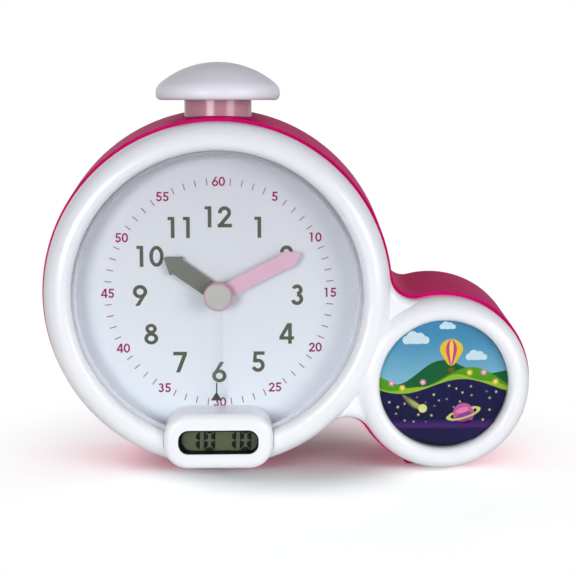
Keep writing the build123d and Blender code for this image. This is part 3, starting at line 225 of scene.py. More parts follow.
class Signal:
    """One output socket.  Arithmetic on it adds Math nodes to its tree."""

    def __init__(self, finish, socket):
        self.finish = finish
        self.socket = socket

    def maths(self, operation, first, second=0.0):
        """Adds a Math node."""
        return self.finish.node("ShaderNodeMath", {"operation": operation}, {0: first, 1: second})

    def __add__(self, other):
        return self.maths("ADD", self, other)

    def __radd__(self, other):
        return self.maths("ADD", other, self)

    def __sub__(self, other):
        return self.maths("SUBTRACT", self, other)

    def __rsub__(self, other):
        return self.maths("SUBTRACT", other, self)

    def __mul__(self, other):
        return self.maths("MULTIPLY", self, other)

    def __rmul__(self, other):
        return self.maths("MULTIPLY", other, self)

    def __pow__(self, other):
        return self.maths("POWER", self, other)

    def __rpow__(self, other):
        return self.maths("POWER", other, self)

    def __abs__(self):
        return self.maths("ABSOLUTE", self)

    def sine(self):
        return self.maths("SINE", self)

    def root(self):
        return self.maths("SQRT", self)

    def low(self, other):
        return self.maths("MINIMUM", self, other)

    def high(self, other):
        return self.maths("MAXIMUM", self, other)

    def ramp(self, start, end):
        """0 before start, 1 after end, smooth between them."""
        return self.finish.node(
            "ShaderNodeMapRange",
            {"interpolation_type": "SMOOTHSTEP"},
            {"Value": self, "From Min": start, "From Max": end},
        )

    def output(self, name):
        """Another output of the same node."""
        return Signal(self.finish, self.socket.node.outputs[name])


class Finish:
    """Builds one node tree, for a material or for the world."""

    def __init__(self, name, owner=None):
        self.owner = owner or bpy.data.materials.new(name)
        self.owner.use_nodes = True
        self.tree = self.owner.node_tree
        self.tree.nodes.clear()

    def node(self, kind, settings=None, values=None, output=0):
        """Adds a node and returns one of its outputs."""
        made = add_node(self.tree, kind, settings, values)
        return Signal(self, made.outputs[output]) if made.outputs else None

    def place(self, centre=None):
        """Object coordinates in metres, measured from a centre where one is given."""
        spot = self.node("ShaderNodeTexCoord", output=3)
        if centre is None:
            return spot
        return self.node(
            "ShaderNodeMapping",
            {"vector_type": "POINT"},
            {"Vector": spot, "Location": [-c for c in centre]},
        )

    def axes(self, spot):
        """The three parts of a vector."""
        parts = self.node("ShaderNodeSeparateXYZ", values={"Vector": spot})
        return parts, parts.output("Y"), parts.output("Z")

    def noise(self, spot, scale, detail=2.0, roughness=0.5):
        """Smooth noise; scale counts its waves in a metre."""
        return self.node(
            "ShaderNodeTexNoise",
            {"noise_dimensions": "3D"},
            {"Vector": spot, "Scale": scale, "Detail": detail, "Roughness": roughness},
        )

    def blend(self, factor, first, second):
        """Mixes two colours."""
        return self.node(
            "ShaderNodeMix", {"data_type": "RGBA"}, {0: factor, 6: first, 7: second}, output=2
        )

    def bump(self, height, depth):
        """Relief that stands a depth in millimetres proud."""
        return self.node(
            "ShaderNodeBump", values={"Strength": 1.0, "Distance": depth * MM, "Height": height}
        )

    def surface(self, **values):
        """Principled shader; names use underscores for spaces."""
        sockets = {key.replace("_", " "): value for key, value in values.items()}
        return self.node("ShaderNodeBsdfPrincipled", values=sockets)

    def done(self, shader, kind="ShaderNodeOutputMaterial"):
        """Ends the tree with a shader."""
        self.node(kind, values={"Surface": shader})
        return self.owner

    def coat(self, colour, **values):
        """Ends the tree with a principled shader of one base colour."""
        return self.done(self.surface(Base_Color=colour, **values))


def radius_from(finish, centre):
    """Distance from an axis that runs front to back, in millimetres."""
    across, _, up = finish.axes(finish.place(centre))
    return (across * across + up * up).root() * (1 / MM)


def moulded(name, colour, gloss, cloud, peel=0.004, grain=0.0, crown=None, **sockets):
    """Glossy or satin moulded plastic: faint flow clouds, uneven gloss and moulding ripple.

    With a crown colour, the plastic turns to it towards the top of the clock: painted shade, a
    darker top where less light falls.
    """
    finish = Finish(name)
    spot = finish.place()
    flow = finish.noise(spot, 24.0, 3.0)
    ripple = finish.noise(spot, 150.0, 2.0)
    fine = finish.noise(spot, 1900.0, 2.0)
    dust = finish.noise(spot, 620.0, 4.0, 0.7).ramp(0.66, 0.8)
    body = finish.blend(flow, shade(colour, 1 - cloud), shade(colour, 1 + cloud))
    if crown:
        # painted shade: a crown colour darkens the plastic towards the top
        _, _, height = finish.axes(spot)
        body = finish.blend(height.ramp(0.02, 0.15), body, crown)
    body = finish.blend(dust * 0.015, body, tint(214, 208, 214))
    rough = flow * 0.05 + ripple * 0.04 + dust * 0.05 + (gloss - 0.045)
    normal = finish.bump(ripple + fine * (0.06 + grain), peel)
    return finish.coat(body, Roughness=rough, Normal=normal, **sockets)


def clear_sheet(name, haze=0.0, bevel=None):
    """Clear styrene: it lets light through, and shines where it is seen at a slant.

    A bevel is (centre, colour, edge, seam).  Beyond the radius given as edge, where the sheet
    is bevelled, it carries a pale film, painted light, which turns to the colour towards the top
    as painted shade, and beyond the radius given as seam, where it meets the ring, the film
    thickens over the upper half as a painted shadow line.  Both are in millimetres.
    """
    finish = Finish(name)
    gloss = 0.03
    smear = finish.noise(finish.place(), 90.0, 3.0)
    slant = finish.node("ShaderNodeLayerWeight", values={"Blend": 0.5}, output=1)
    clear = finish.node("ShaderNodeBsdfTransparent", values={"Color": (0.99, 0.993, 0.995, 1)})
    pale = tint(228, 230, 238)
    cloud = smear * 0.002 + haze
    if bevel:
        centre, colour, edge, seam = bevel
        _, _, up = finish.axes(finish.place(centre))
        out = radius_from(finish, centre)
        # painted shade: the film turns to the grey colour towards the top
        pale = finish.blend(up.ramp(-0.02, 0.05), pale, colour)
        # painted light: a pale film over the bevel
        cloud = cloud + out.ramp(edge, edge + 0.5) * 0.36
        # painted shadow line along the seam with the ring, over the upper half
        cloud = cloud + out.ramp(seam, seam + 0.2) * up.ramp(-0.03, 0.03) * 0.6
    film = finish.surface(Base_Color=pale, Roughness=smear * 0.05 + gloss + 0.1)
    shine = finish.node(
        "ShaderNodeBsdfGlossy", values={"Color": (1, 1, 1, 1), "Roughness": smear * 0.03 + gloss}
    )
    body = finish.node("ShaderNodeMixShader", values={0: cloud, 1: clear, 2: film})
    return finish.done(
        finish.node("ShaderNodeMixShader", values={0: slant**4 * 0.45 + 0.006, 1: body, 2: shine})
    )


def printed_ink(name, colour, gloss=0.5):
    """Screen-printed ink with the faint mottle that a screen leaves."""
    finish = Finish(name)
    spot = finish.place()
    mottle = finish.noise(spot, 2600.0, 2.0)
    cloud = finish.noise(spot, 160.0, 2.0)
    body = finish.blend(mottle * 0.6 + cloud * 0.4, shade(colour, 0.9), shade(colour, 1.1))
    return finish.coat(
        body,
        Roughness=cloud * 0.1 + gloss - 0.05,
        Normal=finish.bump(mottle, 0.003),
        Specular_IOR_Level=0.2,
    )


def dial_sheet(colour, top):
    """Pale sheet of the dial, a little greyer towards the top as painted shade, with a painted
    shadow of the ring near the top rim and a fine print grain.
    """
    finish = Finish("dial_sheet")
    spot = finish.place(DIAL)
    _, _, up = finish.axes(spot)
    grain = finish.noise(spot, 3200.0, 2.0)
    cloud = finish.noise(spot, 30.0, 2.0)
    # painted shade: the ground turns to the greyer top colour towards the top
    body = finish.blend((up * 9.0 + 0.5).low(1.0).high(0.0), colour, top)
    # painted shadow of the ring, darker near the top rim
    body = finish.blend(up.ramp(40 * MM, 70 * MM) * 0.35, body, shade(top, 0.8))
    body = finish.blend(cloud * 0.05, body, tint(206, 210, 226))
    body = finish.blend(grain * 0.03, body, tint(150, 154, 170))
    return finish.coat(body, Roughness=cloud * 0.08 + 0.44, Normal=finish.bump(grain, 0.008))


def hand_paint(name, colour):
    """Stamped hand: satin paint with a soft orange peel and a slightly worn sheen."""
    finish = Finish(name)
    spot = finish.place()
    peel = finish.noise(spot, 700.0, 2.0)
    cloud = finish.noise(spot, 70.0, 2.0)
    body = finish.blend(cloud, shade(colour, 0.95), shade(colour, 1.05))
    rough = cloud * 0.12 + peel * 0.05 + 0.33
    return finish.coat(body, Roughness=rough, Normal=finish.bump(peel, 0.01))


def hub_cap(centre, reach):
    """Pale cap over the hands, pinker round its rim: a painted pink reflection."""
    finish = Finish("hub_cap")
    cloud = finish.noise(finish.place(), 150.0, 2.0)
    rim = radius_from(finish, centre).ramp(reach - 1.5, reach - 0.5)
    # painted reflection: the rim turns pink
    body = finish.blend(rim, tint(186, 186, 180), tint(200, 150, 172))
    body = finish.blend(cloud * 0.2, body, tint(178, 176, 168))
    return finish.coat(
        body,
        Roughness=cloud * 0.08 + 0.3,
        Normal=finish.bump(cloud, 0.01),
        Subsurface_Weight=0.15,
        Subsurface_Radius=(0.004, 0.003, 0.003),
    )


def display_panel(colour, foot):
    """Liquid crystal glass: olive reflector grain, darker towards the sides and top as painted
    shade, inside a black band that is widest at the bottom and left, a painted shadow of the
    window's inner walls.
    """
    finish = Finish("display_panel")
    centre = middle("lcd_glass")
    across, _, up = finish.axes(finish.place(centre))
    grain = finish.noise(finish.place(), 2400.0, 3.0)
    # painted shade: the olive darkens towards the sides and the top
    edge = abs(across).ramp(11 * MM, 19 * MM) * 0.4 + up.ramp(-1 * MM, 6 * MM) * 0.3
    body = finish.blend(edge, shade(colour, 1.08), shade(colour, 0.78))
    body = finish.blend(grain * 0.16, body, tint(112, 116, 92))
    # painted shadow of the window's inner walls: black round the edge, widest at the bottom and
    # left
    low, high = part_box("lcd_mask")
    reach = (high[2] - low[2]) / 2 - 0.4 * MM
    straight = (high[0] - low[0]) / 2 - reach - 0.5 * MM
    blur, wall_shadow_shift = 0.15 * MM, 0.9 * MM
    beyond = (abs(across - wall_shadow_shift) - straight).high(0.0)
    rise = up + (centre.z - foot - reach)
    out = (beyond * beyond + rise * rise).root()
    body = finish.blend(out.ramp(reach - blur, reach + blur), body, tint(9, 9, 10))
    return finish.coat(
        body,
        Roughness=grain * 0.08 + 0.4,
        Normal=finish.bump(grain, 0.002),
        Specular_IOR_Level=0.1,
    )


def solder_mask():
    """Circuit board: green mask over a pattern of tracks."""
    finish = Finish("solder_mask")
    spot = finish.place()
    across, _, up = finish.axes(spot)
    cell = finish.node(
        "ShaderNodeTexVoronoi",
        {"distance": "MANHATTAN", "feature": "F1"},
        {"Vector": spot, "Scale": 260.0, "Randomness": 0.7},
    )
    track = ((across * 1500.0).sine() * (up * 1900.0).sine()).ramp(0.25, 0.4)
    pad = 1.0 - cell.ramp(0.16, 0.2)
    body = finish.blend(track, tint(18, 92, 44), tint(34, 128, 62))
    body = finish.blend(pad, body, tint(196, 190, 168))
    return finish.coat(
        body, Roughness=0.42 - pad * 0.1, Metallic=pad * 0.7, Normal=finish.bump(track, 0.02)
    )


def metal(name, colour, rough, lines=900.0):
    """Drawn or plated metal with fine upright lines."""
    finish = Finish(name)
    spot = finish.node(
        "ShaderNodeMapping",
        {"vector_type": "POINT"},
        {"Vector": finish.place(), "Scale": (1.0, 1.0, 12.0)},
    )
    line = finish.noise(spot, lines, 3.0)
    cloud = finish.noise(finish.place(), 60.0, 2.0)
    body = finish.blend(line, shade(colour, 0.82), shade(colour, 1.1))
    rough = line * 0.12 + cloud * 0.08 + rough - 0.1
    return finish.coat(body, Metallic=1.0, Roughness=rough, Normal=finish.bump(line, 0.01))


def winding():
    """Enamelled copper wire, turn beside turn."""
    finish = Finish("winding")
    across, _, _ = finish.axes(finish.place())
    wire = 0.12 * MM
    turn = (across * (2 * math.pi / wire)).sine() * 0.5 + 0.5
    layer = finish.noise(finish.place(), 300.0, 2.0)
    body = finish.blend(turn, tint(118, 46, 16), tint(206, 112, 52))
    return finish.coat(
        body, Metallic=0.9, Roughness=layer * 0.1 + 0.3, Normal=finish.bump(turn, 0.05)
    )


def cell_wrap(node):
    """Plain shrink wrap on a cell: blue body, silver ends."""
    finish = Finish("cell_wrap")
    across, _, _ = finish.axes(finish.place(middle(node)))
    film = finish.noise(finish.place(), 120.0, 3.0)
    wrapped = 22.6 * MM
    end = abs(across).ramp(wrapped, wrapped + 0.2 * MM)
    body = finish.blend(film, tint(24, 52, 118), tint(38, 70, 146))
    body = finish.blend(end, body, tint(190, 190, 194))
    return finish.coat(
        body, Metallic=end * 0.9, Roughness=film * 0.1 + 0.22, Normal=finish.bump(film, 0.02)
    )


def paper_cone():
    """Pressed dark paper, matt and fibrous."""
    finish = Finish("paper_cone")
    fibre = finish.noise(finish.place(middle("speaker_cone")), 1300.0, 4.0, 0.7)
    body = finish.blend(fibre, tint(36, 35, 34), tint(74, 70, 66))
    return finish.coat(body, Roughness=fibre * 0.15 + 0.75, Normal=finish.bump(fibre, 0.08))


def rubber():
    """Dark rose rubber with a matt speckle."""
    finish = Finish("rubber_pad")
    speck = finish.noise(finish.place(), 1700.0, 3.0)
    body = finish.blend(speck, tint(84, 24, 48), tint(108, 34, 62))
    return finish.coat(body, Roughness=speck * 0.1 + 0.75, Normal=finish.bump(speck, 0.05))


def print_film(finish, body, grain):
    """Ends the tree with the satin surface of the printed picture."""
    return finish.coat(
        body,
        Roughness=grain * 0.08 + 0.5,
        Normal=finish.bump(grain, 0.002),
        Specular_IOR_Level=0.1,
    )


# The rolling line between day and night, in millimetres from the picture's centre.
SWING, PACE, PHASE, DROP = 3.4, 0.110, 0.6, 1.2


def divide(x):
    """Height of the rolling line."""
    return SWING * math.sin(x * PACE + PHASE) - DROP


def picture_ground():
    """Printed ground of the picture: day above a rolling line, night below it."""
    finish = Finish("picture_ground")
    spot = finish.place(LAMP)
    across, _, up = finish.axes(spot)
    grain = finish.noise(spot, 2600.0, 2.0)
    day = finish.blend(up.ramp(-6 * MM, 26 * MM), tint(132, 190, 210), tint(64, 138, 180))
    night = finish.blend(up.ramp(-30 * MM, 2 * MM), tint(6, 3, 44), tint(14, 8, 70))
    line = up - (across * (PACE / MM) + PHASE).sine() * (SWING * MM) + DROP * MM
    body = finish.blend(line.ramp(-0.1 * MM, 0.1 * MM), night, day)
    body = finish.blend(grain * 0.03, body, tint(120, 130, 150))
    return print_film(finish, body, grain)


def picture_ink():
    """Ink of the picture's motifs, coloured from the mesh's own swatches."""
    finish = Finish("picture_ink")
    grain = finish.noise(finish.place(), 2600.0, 2.0)
    ink = finish.node("ShaderNodeAttribute", {"attribute_name": "ink"})
    body = finish.blend(grain * 0.04, ink, tint(120, 126, 140))
    return print_film(finish, body, grain)


def paint_nodes(finish, *nodes):
    """Gives carried-over nodes their finish."""
    for node in nodes:
        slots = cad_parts[node].data.materials
        slots.clear()
        slots.append(finish)


# ------------------------------------------------------------------ mesh helpers
def stand(name, data):
    """Puts an object in the scene."""
    made = bpy.data.objects.new(name, data)
    bpy.context.scene.collection.objects.link(made)
    return made


def link(mesh, body, slot, *finishes):
    """Makes a mesh a piece of the same name that rides on a body."""
    piece = stand(mesh.name, mesh)
    for finish in finishes:
        mesh.materials.append(finish)
    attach(piece, body)
    return piece


def plate(name, outlines, front, thick, colour=None):
    """Thin plate over the union of (x, z) outlines in millimetres, behind a front plane.

    A colour is kept in the mesh, for an ink that reads it.
    """
    points, rings = [], []
    for outline in outlines:
        area = sum(a[0] * b[1] - b[0] * a[1] for a, b in zip(outline, [*outline[1:], outline[0]]))
        rings.append(list(range(len(points), len(points) + len(outline))))
        points += [Vector(point) for point in (outline if area > 0 else outline[::-1])]
    spots, _, cells, _, _, covers = delaunay_2d_cdt(points, [], rings, 0, 1e-5)
    cells = [cell for cell, cover in zip(cells, covers) if cover]
    count = len(spots)
    corners = [(x * MM, y, z * MM) for y in (front, front + thick) for x, z in spots]
    sides = {(a, b) for cell in cells for a, b in zip(cell, [*cell[1:], cell[0]])}
    faces = [tuple(cell) for cell in cells]
    faces += [tuple(index + count for index in reversed(cell)) for cell in cells]
    faces += [(b, a, a + count, b + count) for a, b in sides if (b, a) not in sides]
    mesh = bpy.data.meshes.new(name)
    mesh.from_pydata(corners, [], faces)
    if colour:
        layer = mesh.color_attributes.new("ink", "FLOAT_COLOR", "POINT")
        for entry in layer.data:
            entry.color = colour
    return mesh


def join(name, parts):
    """One mesh from several plates, which are removed."""
    whole = bmesh.new()
    for part in parts:
        whole.from_mesh(part)
        bpy.data.meshes.remove(part)
    mesh = bpy.data.meshes.new(name)
    whole.to_mesh(mesh)
    whole.free()
    return mesh


def turned(name, profile, centre, steps=180):
    """Closed (radius, y) profile turned about a line that runs front to back."""
    corners, rings, faces = [], [], []
    for reach, y in profile:
        count = steps if reach else 1
        rings.append([len(corners) + i for i in range(count)])
        for i in range(count):
            angle = 2 * math.pi * i / steps
            spot = centre + Vector((reach * math.cos(angle), 0, reach * math.sin(angle)))
            corners.append((spot.x, y, spot.z))
    for a, b in zip(rings, rings[1:]):
        for i in range(steps):
            j = (i + 1) % steps
            first = (a[i], a[j]) if len(a) > 1 else (a[0],)
            second = (b[j], b[i]) if len(b) > 1 else (b[0],)
            faces.append(first + second)
    mesh = bpy.data.meshes.new(name)
    mesh.from_pydata(corners, [], faces)
    return mesh


def eased(value, start, end):
    """0 before start, 1 after end, smooth between them."""
    part = min(1.0, max(0.0, (value - start) / (end - start)))
    return part * part * (3 - 2 * part)


def merged(name, source):
    """Copy of a node's mesh with its loose triangles joined up and its shading kept."""
    mesh = source.copy()
    mesh.name = name
    mesh.materials.clear()
    shading = [tuple(entry.vector) for entry in mesh.corner_normals]
    shape = bmesh.new()
    shape.from_mesh(mesh)
    bmesh.ops.remove_doubles(shape, verts=shape.verts, dist=0.001 * MM)
    shape.to_mesh(mesh)
    shape.free()
    if len(mesh.loops) == len(shading):
        mesh.normals_split_custom_set(shading)
    return mesh


class Growth:
    """Builds one Geometry Nodes tree with named inputs, and bakes it to a mesh."""

    KINDS = {
        int: "NodeSocketInt", float: "NodeSocketFloat", bpy.types.Material: "NodeSocketMaterial"
    }

    def __init__(self, name, **inputs):
        self.tree = bpy.data.node_groups.new(name, "GeometryNodeTree")
        self.values = {}
        for in_out in ("INPUT", "OUTPUT"):
            self.add_socket("Geometry", in_out, "NodeSocketGeometry")
        for label, value in inputs.items():
            made = self.add_socket(label, "INPUT", self.KINDS[type(value)])
            self.values[made.identifier] = value
        self.given = self.tree.nodes.new("NodeGroupInput").outputs

    def add_socket(self, label, in_out, kind):
        """Adds a named input or output to the tree."""
        return self.tree.interface.new_socket(name=label, in_out=in_out, socket_type=kind)

    def node(self, kind, settings=None, values=None):
        """Adds a node and returns its outputs."""
        return add_node(self.tree, kind, settings, values).outputs

    def maths(self, operation, first, second):
        """Adds a Math node and returns its output."""
        return self.node("ShaderNodeMath", {"operation": operation}, {0: first, 1: second})[0]

    def bake(self, geometry, base=None):
        """Ends the tree with real geometry and its finish, and returns a plain upright mesh."""
        real = self.node("GeometryNodeRealizeInstances", values={"Geometry": geometry})
        dressed = self.node(
            "GeometryNodeSetMaterial",
            values={"Geometry": real[0], "Material": self.given["Finish"]},
        )
        sink = self.tree.nodes.new("NodeGroupOutput")
        self.tree.links.new(dressed[0], sink.inputs["Geometry"])
        holder = stand(self.tree.name, base or bpy.data.meshes.new(self.tree.name))
        modifier = holder.modifiers.new("growth", "NODES")
        modifier.node_group = self.tree
        for identifier, value in self.values.items():
            modifier[identifier] = value
        bpy.context.view_layer.update()
        graph = bpy.context.evaluated_depsgraph_get()
        mesh = bpy.data.meshes.new_from_object(holder.evaluated_get(graph))
        source = holder.data
        bpy.data.objects.remove(holder)
        bpy.data.meshes.remove(source)
        if not any(mesh.materials):
            raise RuntimeError("the tree lost its finish")
        mesh.name = self.tree.name
        mesh.transform(Matrix.Rotation(math.radians(90), 4, "X"))
        return mesh


# ------------------------------------------------------------------ outlines
# The numerals are one unit high in a cell this wide, drawn with a stroke this heavy.
CELL = 0.72
STROKE = 0.175


def arc(centre, reach, start, end, steps=16):
    """Points along an arc between two angles in degrees."""
    turns = [math.radians(start + (end - start) * i / steps) for i in range(steps + 1)]
    return [(centre[0] + reach * math.cos(t), centre[1] + reach * math.sin(t)) for t in turns]


def ribbon(path):
    """Outline of a stroke of even width along a path."""
    left, right = [], []
    for i, (x, z) in enumerate(path):
        along = Vector(path[min(i + 1, len(path) - 1)]) - Vector(path[max(i - 1, 0)])
        along = along.normalized() * STROKE / 2
        left.append((x - along.y, z + along.x))
        right.append((x + along.y, z - along.x))
    return left + right[::-1]


def hoop(centre, outer, inner, steps=40):
    """Oval ring, as a run of small outlines."""
    def point(reach, i):
        turn = 2 * math.pi * i / steps
        return (centre[0] + reach[0] * math.cos(turn), centre[1] + reach[1] * math.sin(turn))

    return [
        [point(outer, i), point(outer, i + 1), point(inner, i + 1), point(inner, i)]
        for i in range(steps)
    ]


def block(left, foot, right, head):
    """Upright rectangle."""
    return [(left, foot), (right, foot), (right, head), (left, head)]


SIX = [
    *hoop((0.36, 0.32), (0.34, 0.32), (0.165, 0.15)),
    [(0.395, 1.0), (0.6, 1.0), (0.27, 0.5), (0.05, 0.41)],
]
GLYPHS = {
    "0": hoop((0.36, 0.5), (0.34, 0.5), (0.165, 0.33)),
    "1": [[(0.285, 0), (0.46, 0), (0.46, 1), (0.14, 1), (0.14, 0.85), (0.285, 0.85)]],
    "2": [
        ribbon([*arc((0.36, 0.6925), 0.22, 188, -35), (0.13, 0.085)]),
        block(0.03, 0, 0.7, 0.17),
    ],
    "3": [
        ribbon(arc((0.34, 0.7325), 0.18, 160, -90)),
        ribbon(arc((0.34, 0.2975), 0.21, 90, -165)),
    ],
    "4": [
        [(0.38, 1), (0.595, 1), (0.19, 0.34), (0, 0.34)],
        block(0.42, 0, 0.595, 1),
        block(0, 0.2, 0.7, 0.36),
    ],
    "5": [
        block(0.14, 0.83, 0.66, 1),
        [(0.14, 1), (0.3, 1), (0.27, 0.5), (0.1, 0.46)],
        ribbon(arc((0.34, 0.325), 0.2375, 130, -160)),
    ],
    "6": SIX,
    "7": [block(0.04, 0.83, 0.69, 1), [(0.49, 0.86), (0.69, 0.86), (0.35, 0), (0.16, 0)]],
    "8": [
        *hoop((0.36, 0.755), (0.27, 0.245), (0.105, 0.09)),
        *hoop((0.36, 0.29), (0.33, 0.29), (0.155, 0.13)),
    ],
    "9": [[(CELL - x, 1 - z) for x, z in outline] for outline in SIX],
}


def numeral(words, height, centre):
    """Outlines of one number of a given height, centred on a point."""
    shapes = [
        [((x + CELL * i) * height, z * height) for x, z in outline]
        for i, digit in enumerate(words)
        for outline in GLYPHS[digit]
    ]
    spots = [spot for shape in shapes for spot in shape]
    low, high = ([limit(spot[i] for spot in spots) for i in (0, 1)] for limit in (min, max))
    dx, dz = (centre[i] - (low[i] + high[i]) / 2 for i in (0, 1))
    return [[(x + dx, z + dz) for x, z in shape] for shape in shapes]


def numeral_ring(name, first, height, ring, offset, thick):
    """Twelve upright numbers printed on a ring round the dial, the first of them given."""
    front = front_of("dial_plate") - thick * 0.9
    parts = []
    for step in range(1, 13):
        angle = math.radians(30 * step)
        centre = (
            (DIAL.x + offset[0] + ring * math.sin(angle)) / MM,
            (DIAL.z + offset[1] + ring * math.cos(angle)) / MM,
        )
        parts.append(plate(name, numeral(str(first * step), height / MM, centre), front, thick))
    return join(name, parts)


def smooth_loop(points, steps=10):
    """Closed smooth curve through points."""
    loop = []
    count = len(points)
    for i in range(count):
        a, b, c, d = (Vector(points[(i + k - 1) % count]) for k in range(4))
        slope, sweep, twist = c - a, 2 * a - 5 * b + 4 * c - d, 3 * b - a - 3 * c + d
        for t in (step / steps for step in range(steps)):
            spot = 0.5 * (2 * b + slope * t + sweep * t * t + twist * t**3)
            loop.append((spot.x, spot.y))
    return loop


def disc(x, z, radius, steps=28, squash=1.0, turn=0.0):
    """Round or oval outline, turned by an angle."""
    along, beside = math.cos(turn), math.sin(turn)
    loop = []
    for step in range(steps):
        angle = 2 * math.pi * step / steps
        u, v = radius * math.cos(angle), radius * squash * math.sin(angle)
        loop.append((x + u * along - v * beside, z + u * beside + v * along))
    return loop


def mirrored(x, z, flank):
    """Smooth outline from its right flank, top to foot, and the same on the left."""
    left = [(-dx, dz) for dx, dz in reversed(flank) if dx]
    return smooth_loop([(x + dx, z + dz) for dx, dz in (*flank, *left)])


# ------------------------------------------------------------------ operators
class CLOCK_OT_finishes(Operator):
    """Gives every moulded, printed and metal part of the clock its finish"""

    bl_idname = "clock.finishes"
    bl_label = "Finishes"

    def execute(self, context):
        shell = context.scene.clock_shell
        dial = context.scene.clock_dial
        hands = context.scene.clock_hands
        display = context.scene.clock_display
        white, magenta = full(shell.white), full(shell.magenta)
        # The white crown is painted shade, darker towards the top of the white moulding.
        ring = moulded(
            "white_shell", white, shell.gloss, 0.006, crown=full(shell.crown), Coat_Weight=0.12
        )
        paint_nodes(ring, "front_bezel", "lcd_pod")
        # The stem's rose is a painted reflection of the magenta shell on white plastic.
        stem = moulded("stem_shell", full(shell.stem), 0.24, 0.03, Coat_Weight=0.2)
        paint_nodes(stem, "button_stem")
        dome = moulded("dome_shell", full(shell.dome), shell.gloss + 0.05, 0.015)
        paint_nodes(dome, "button_dome")
        housing = moulded("magenta_shell", magenta, 0.5, 0.05, Specular_IOR_Level=0.05)
        paint_nodes(housing, "rear_housing", "battery_tray")
        back = moulded("magenta_back", magenta, 0.42, 0.04, 0.012, 0.4, Specular_IOR_Level=0.35)
        paint_nodes(back, "battery_door")
        control = moulded(
            "magenta_control", shade(magenta, 1.15), 0.3, 0.03, Specular_IOR_Level=0.45
        )
        keys = ["set_button_%d" % key for key in range(1, 5)]
        paint_nodes(control, "time_set_knob", "alarm_switch_knob", *keys)
        paint_nodes(clear_sheet("picture_window"), "picture_window")
        paint_nodes(clear_sheet("display_window"), "lcd_window")
        paint_nodes(clear_sheet("second_hand", 0.03), "second_hand")
        paint_nodes(dial_sheet(full(dial.sheet), full(dial.sheet_shaded_top)), "dial_plate")
        paint_nodes(hand_paint("hour_hand", full(hands.grey)), "hour_hand")
        paint_nodes(hand_paint("minute_hand", full(hands.pink)), "minute_hand")
        low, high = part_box("hub_cap")
        paint_nodes(hub_cap(middle("hub_cap"), (high[0] - low[0]) / 2 / MM), "hub_cap")
        mask = moulded("display_mask", tint(12, 12, 13), 0.4, 0.1, Specular_IOR_Level=0.15)
        paint_nodes(mask, "lcd_mask")
        paint_nodes(display_panel(full(display.panel), digit_foot(display)), "lcd_glass")
        paint_nodes(solder_mask(), "lcd_board", "led_board", "button_board", "main_board")
        inner = moulded("inner_white", tint(226, 226, 222), 0.45, 0.02)
        paint_nodes(inner, "lcd_carrier", "light_box", "button_base")
        component = moulded("component", tint(34, 34, 36), 0.5, 0.12, 0.01, 0.3)
        paint_nodes(component, "button_switch", "board_components", "key_switches")
        paint_nodes(picture_ground(), "picture_film")
        picture_ink()
        resin = moulded("led_resin", tint(240, 236, 214), 0.12, 0.03, Subsurface_Weight=0.3)
        paint_nodes(resin, "night_leds")
        steel = metal("steel_wire", tint(196, 196, 198), 0.25)
        paint_nodes(steel, "button_spring", "contact_springs", "contact_plates")
        zinc = metal("zinc_plate", tint(176, 178, 184), 0.34, 600.0)
        paint_nodes(zinc, "alarm_switch_body", "speaker_basket", "stator")
        paint_nodes(zinc, "door_screw", "housing_screws", "small_screws")
        paint_nodes(paper_cone(), "speaker_cone")
        for cell in ("battery_1", "battery_2", "battery_3"):
            paint_nodes(cell_wrap(cell), cell)
        paint_nodes(rubber(), "foot_pads")
        case = moulded("movement_case", tint(40, 40, 42), 0.48, 0.08, 0.012, 0.3)
        paint_nodes(case, "movement_case_front", "movement_case_rear")
        gear = moulded("gear_resin", tint(232, 228, 212), 0.38, 0.03, Subsurface_Weight=0.15)
        for wheel in ("fifth", "second", "third", "centre", "motion", "hour"):
            paint_nodes(gear, wheel + "_wheel")
        paint_nodes(gear, "rotor")
        paint_nodes(winding(), "coil")
        return {"FINISHED"}


class CLOCK_OT_dial_glass(Operator):
    """Turns the crowned lens over the dial, bevelled at its rim and open for the pod"""

    bl_idname = "clock.dial_glass"
    bl_label = "Dial glass"

    def execute(self, context):
        low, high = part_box("dial_lens")
        crown, reach = low[1], (high[0] - low[0]) / 2
        flat, rim = reach - 4.1 * MM, reach + 0.2 * MM
        # (radius, depth behind the crown in millimetres): outer face, bevel, rim, inner face
        outer = [(0, 0), (flat * 0.25, 0.05), (flat / 2, 0.2), (flat * 0.75, 0.45)]
        outer += [(flat * 0.92, 0.7), (flat, 0.82)]
        bevel = [(flat + 0.5 * MM, 1.15), (flat + 1.8 * MM, 2.8), (rim, 2.8), (rim, 4.05)]
        inner = [(flat + 0.4 * MM, 4.05), (flat - 0.8 * MM, 2.25), (flat / 2, 1.65), (0, 1.45)]
        profile = [(radius, crown + depth * MM) for radius, depth in (*outer, *bevel, *inner)]
        mesh = turned("dial_glass", profile, Vector((DIAL.x, 0, DIAL.z)))
        shape = bmesh.new()
        shape.from_mesh(mesh)
        bmesh.ops.recalc_face_normals(shape, faces=shape.faces)
        pod_low, pod_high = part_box("lcd_pod")
        left, right, top = pod_low[0] + MM, pod_high[0] - MM, pod_high[2] - MM
        hidden = [
            face
            for face in shape.faces
            if all(left < corner.co.x < right and corner.co.z < top for corner in face.verts)
        ]
        bmesh.ops.delete(shape, geom=hidden, context="FACES")
        for face in shape.faces:
            face.smooth = True
        sharp = 0.35  # radians between two faces
        for edge in shape.edges:
            edge.smooth = len(edge.link_faces) < 2 or edge.calc_face_angle(0) < sharp
        shape.to_mesh(mesh)
        shape.free()
        # The bevel's pale film is painted light, grey at the top as painted shade, with a painted
        # shadow line along the seam.
        edge, seam = (reach - 2.4 * MM) / MM, (reach - 0.15 * MM) / MM
        finish = clear_sheet("dial_glass", 0.003, (DIAL, tint(168, 166, 172), edge, seam))
        piece = link(mesh, "clock_body", "clear_plastic", finish)
        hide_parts("dial_lens")
        return {"FINISHED"}


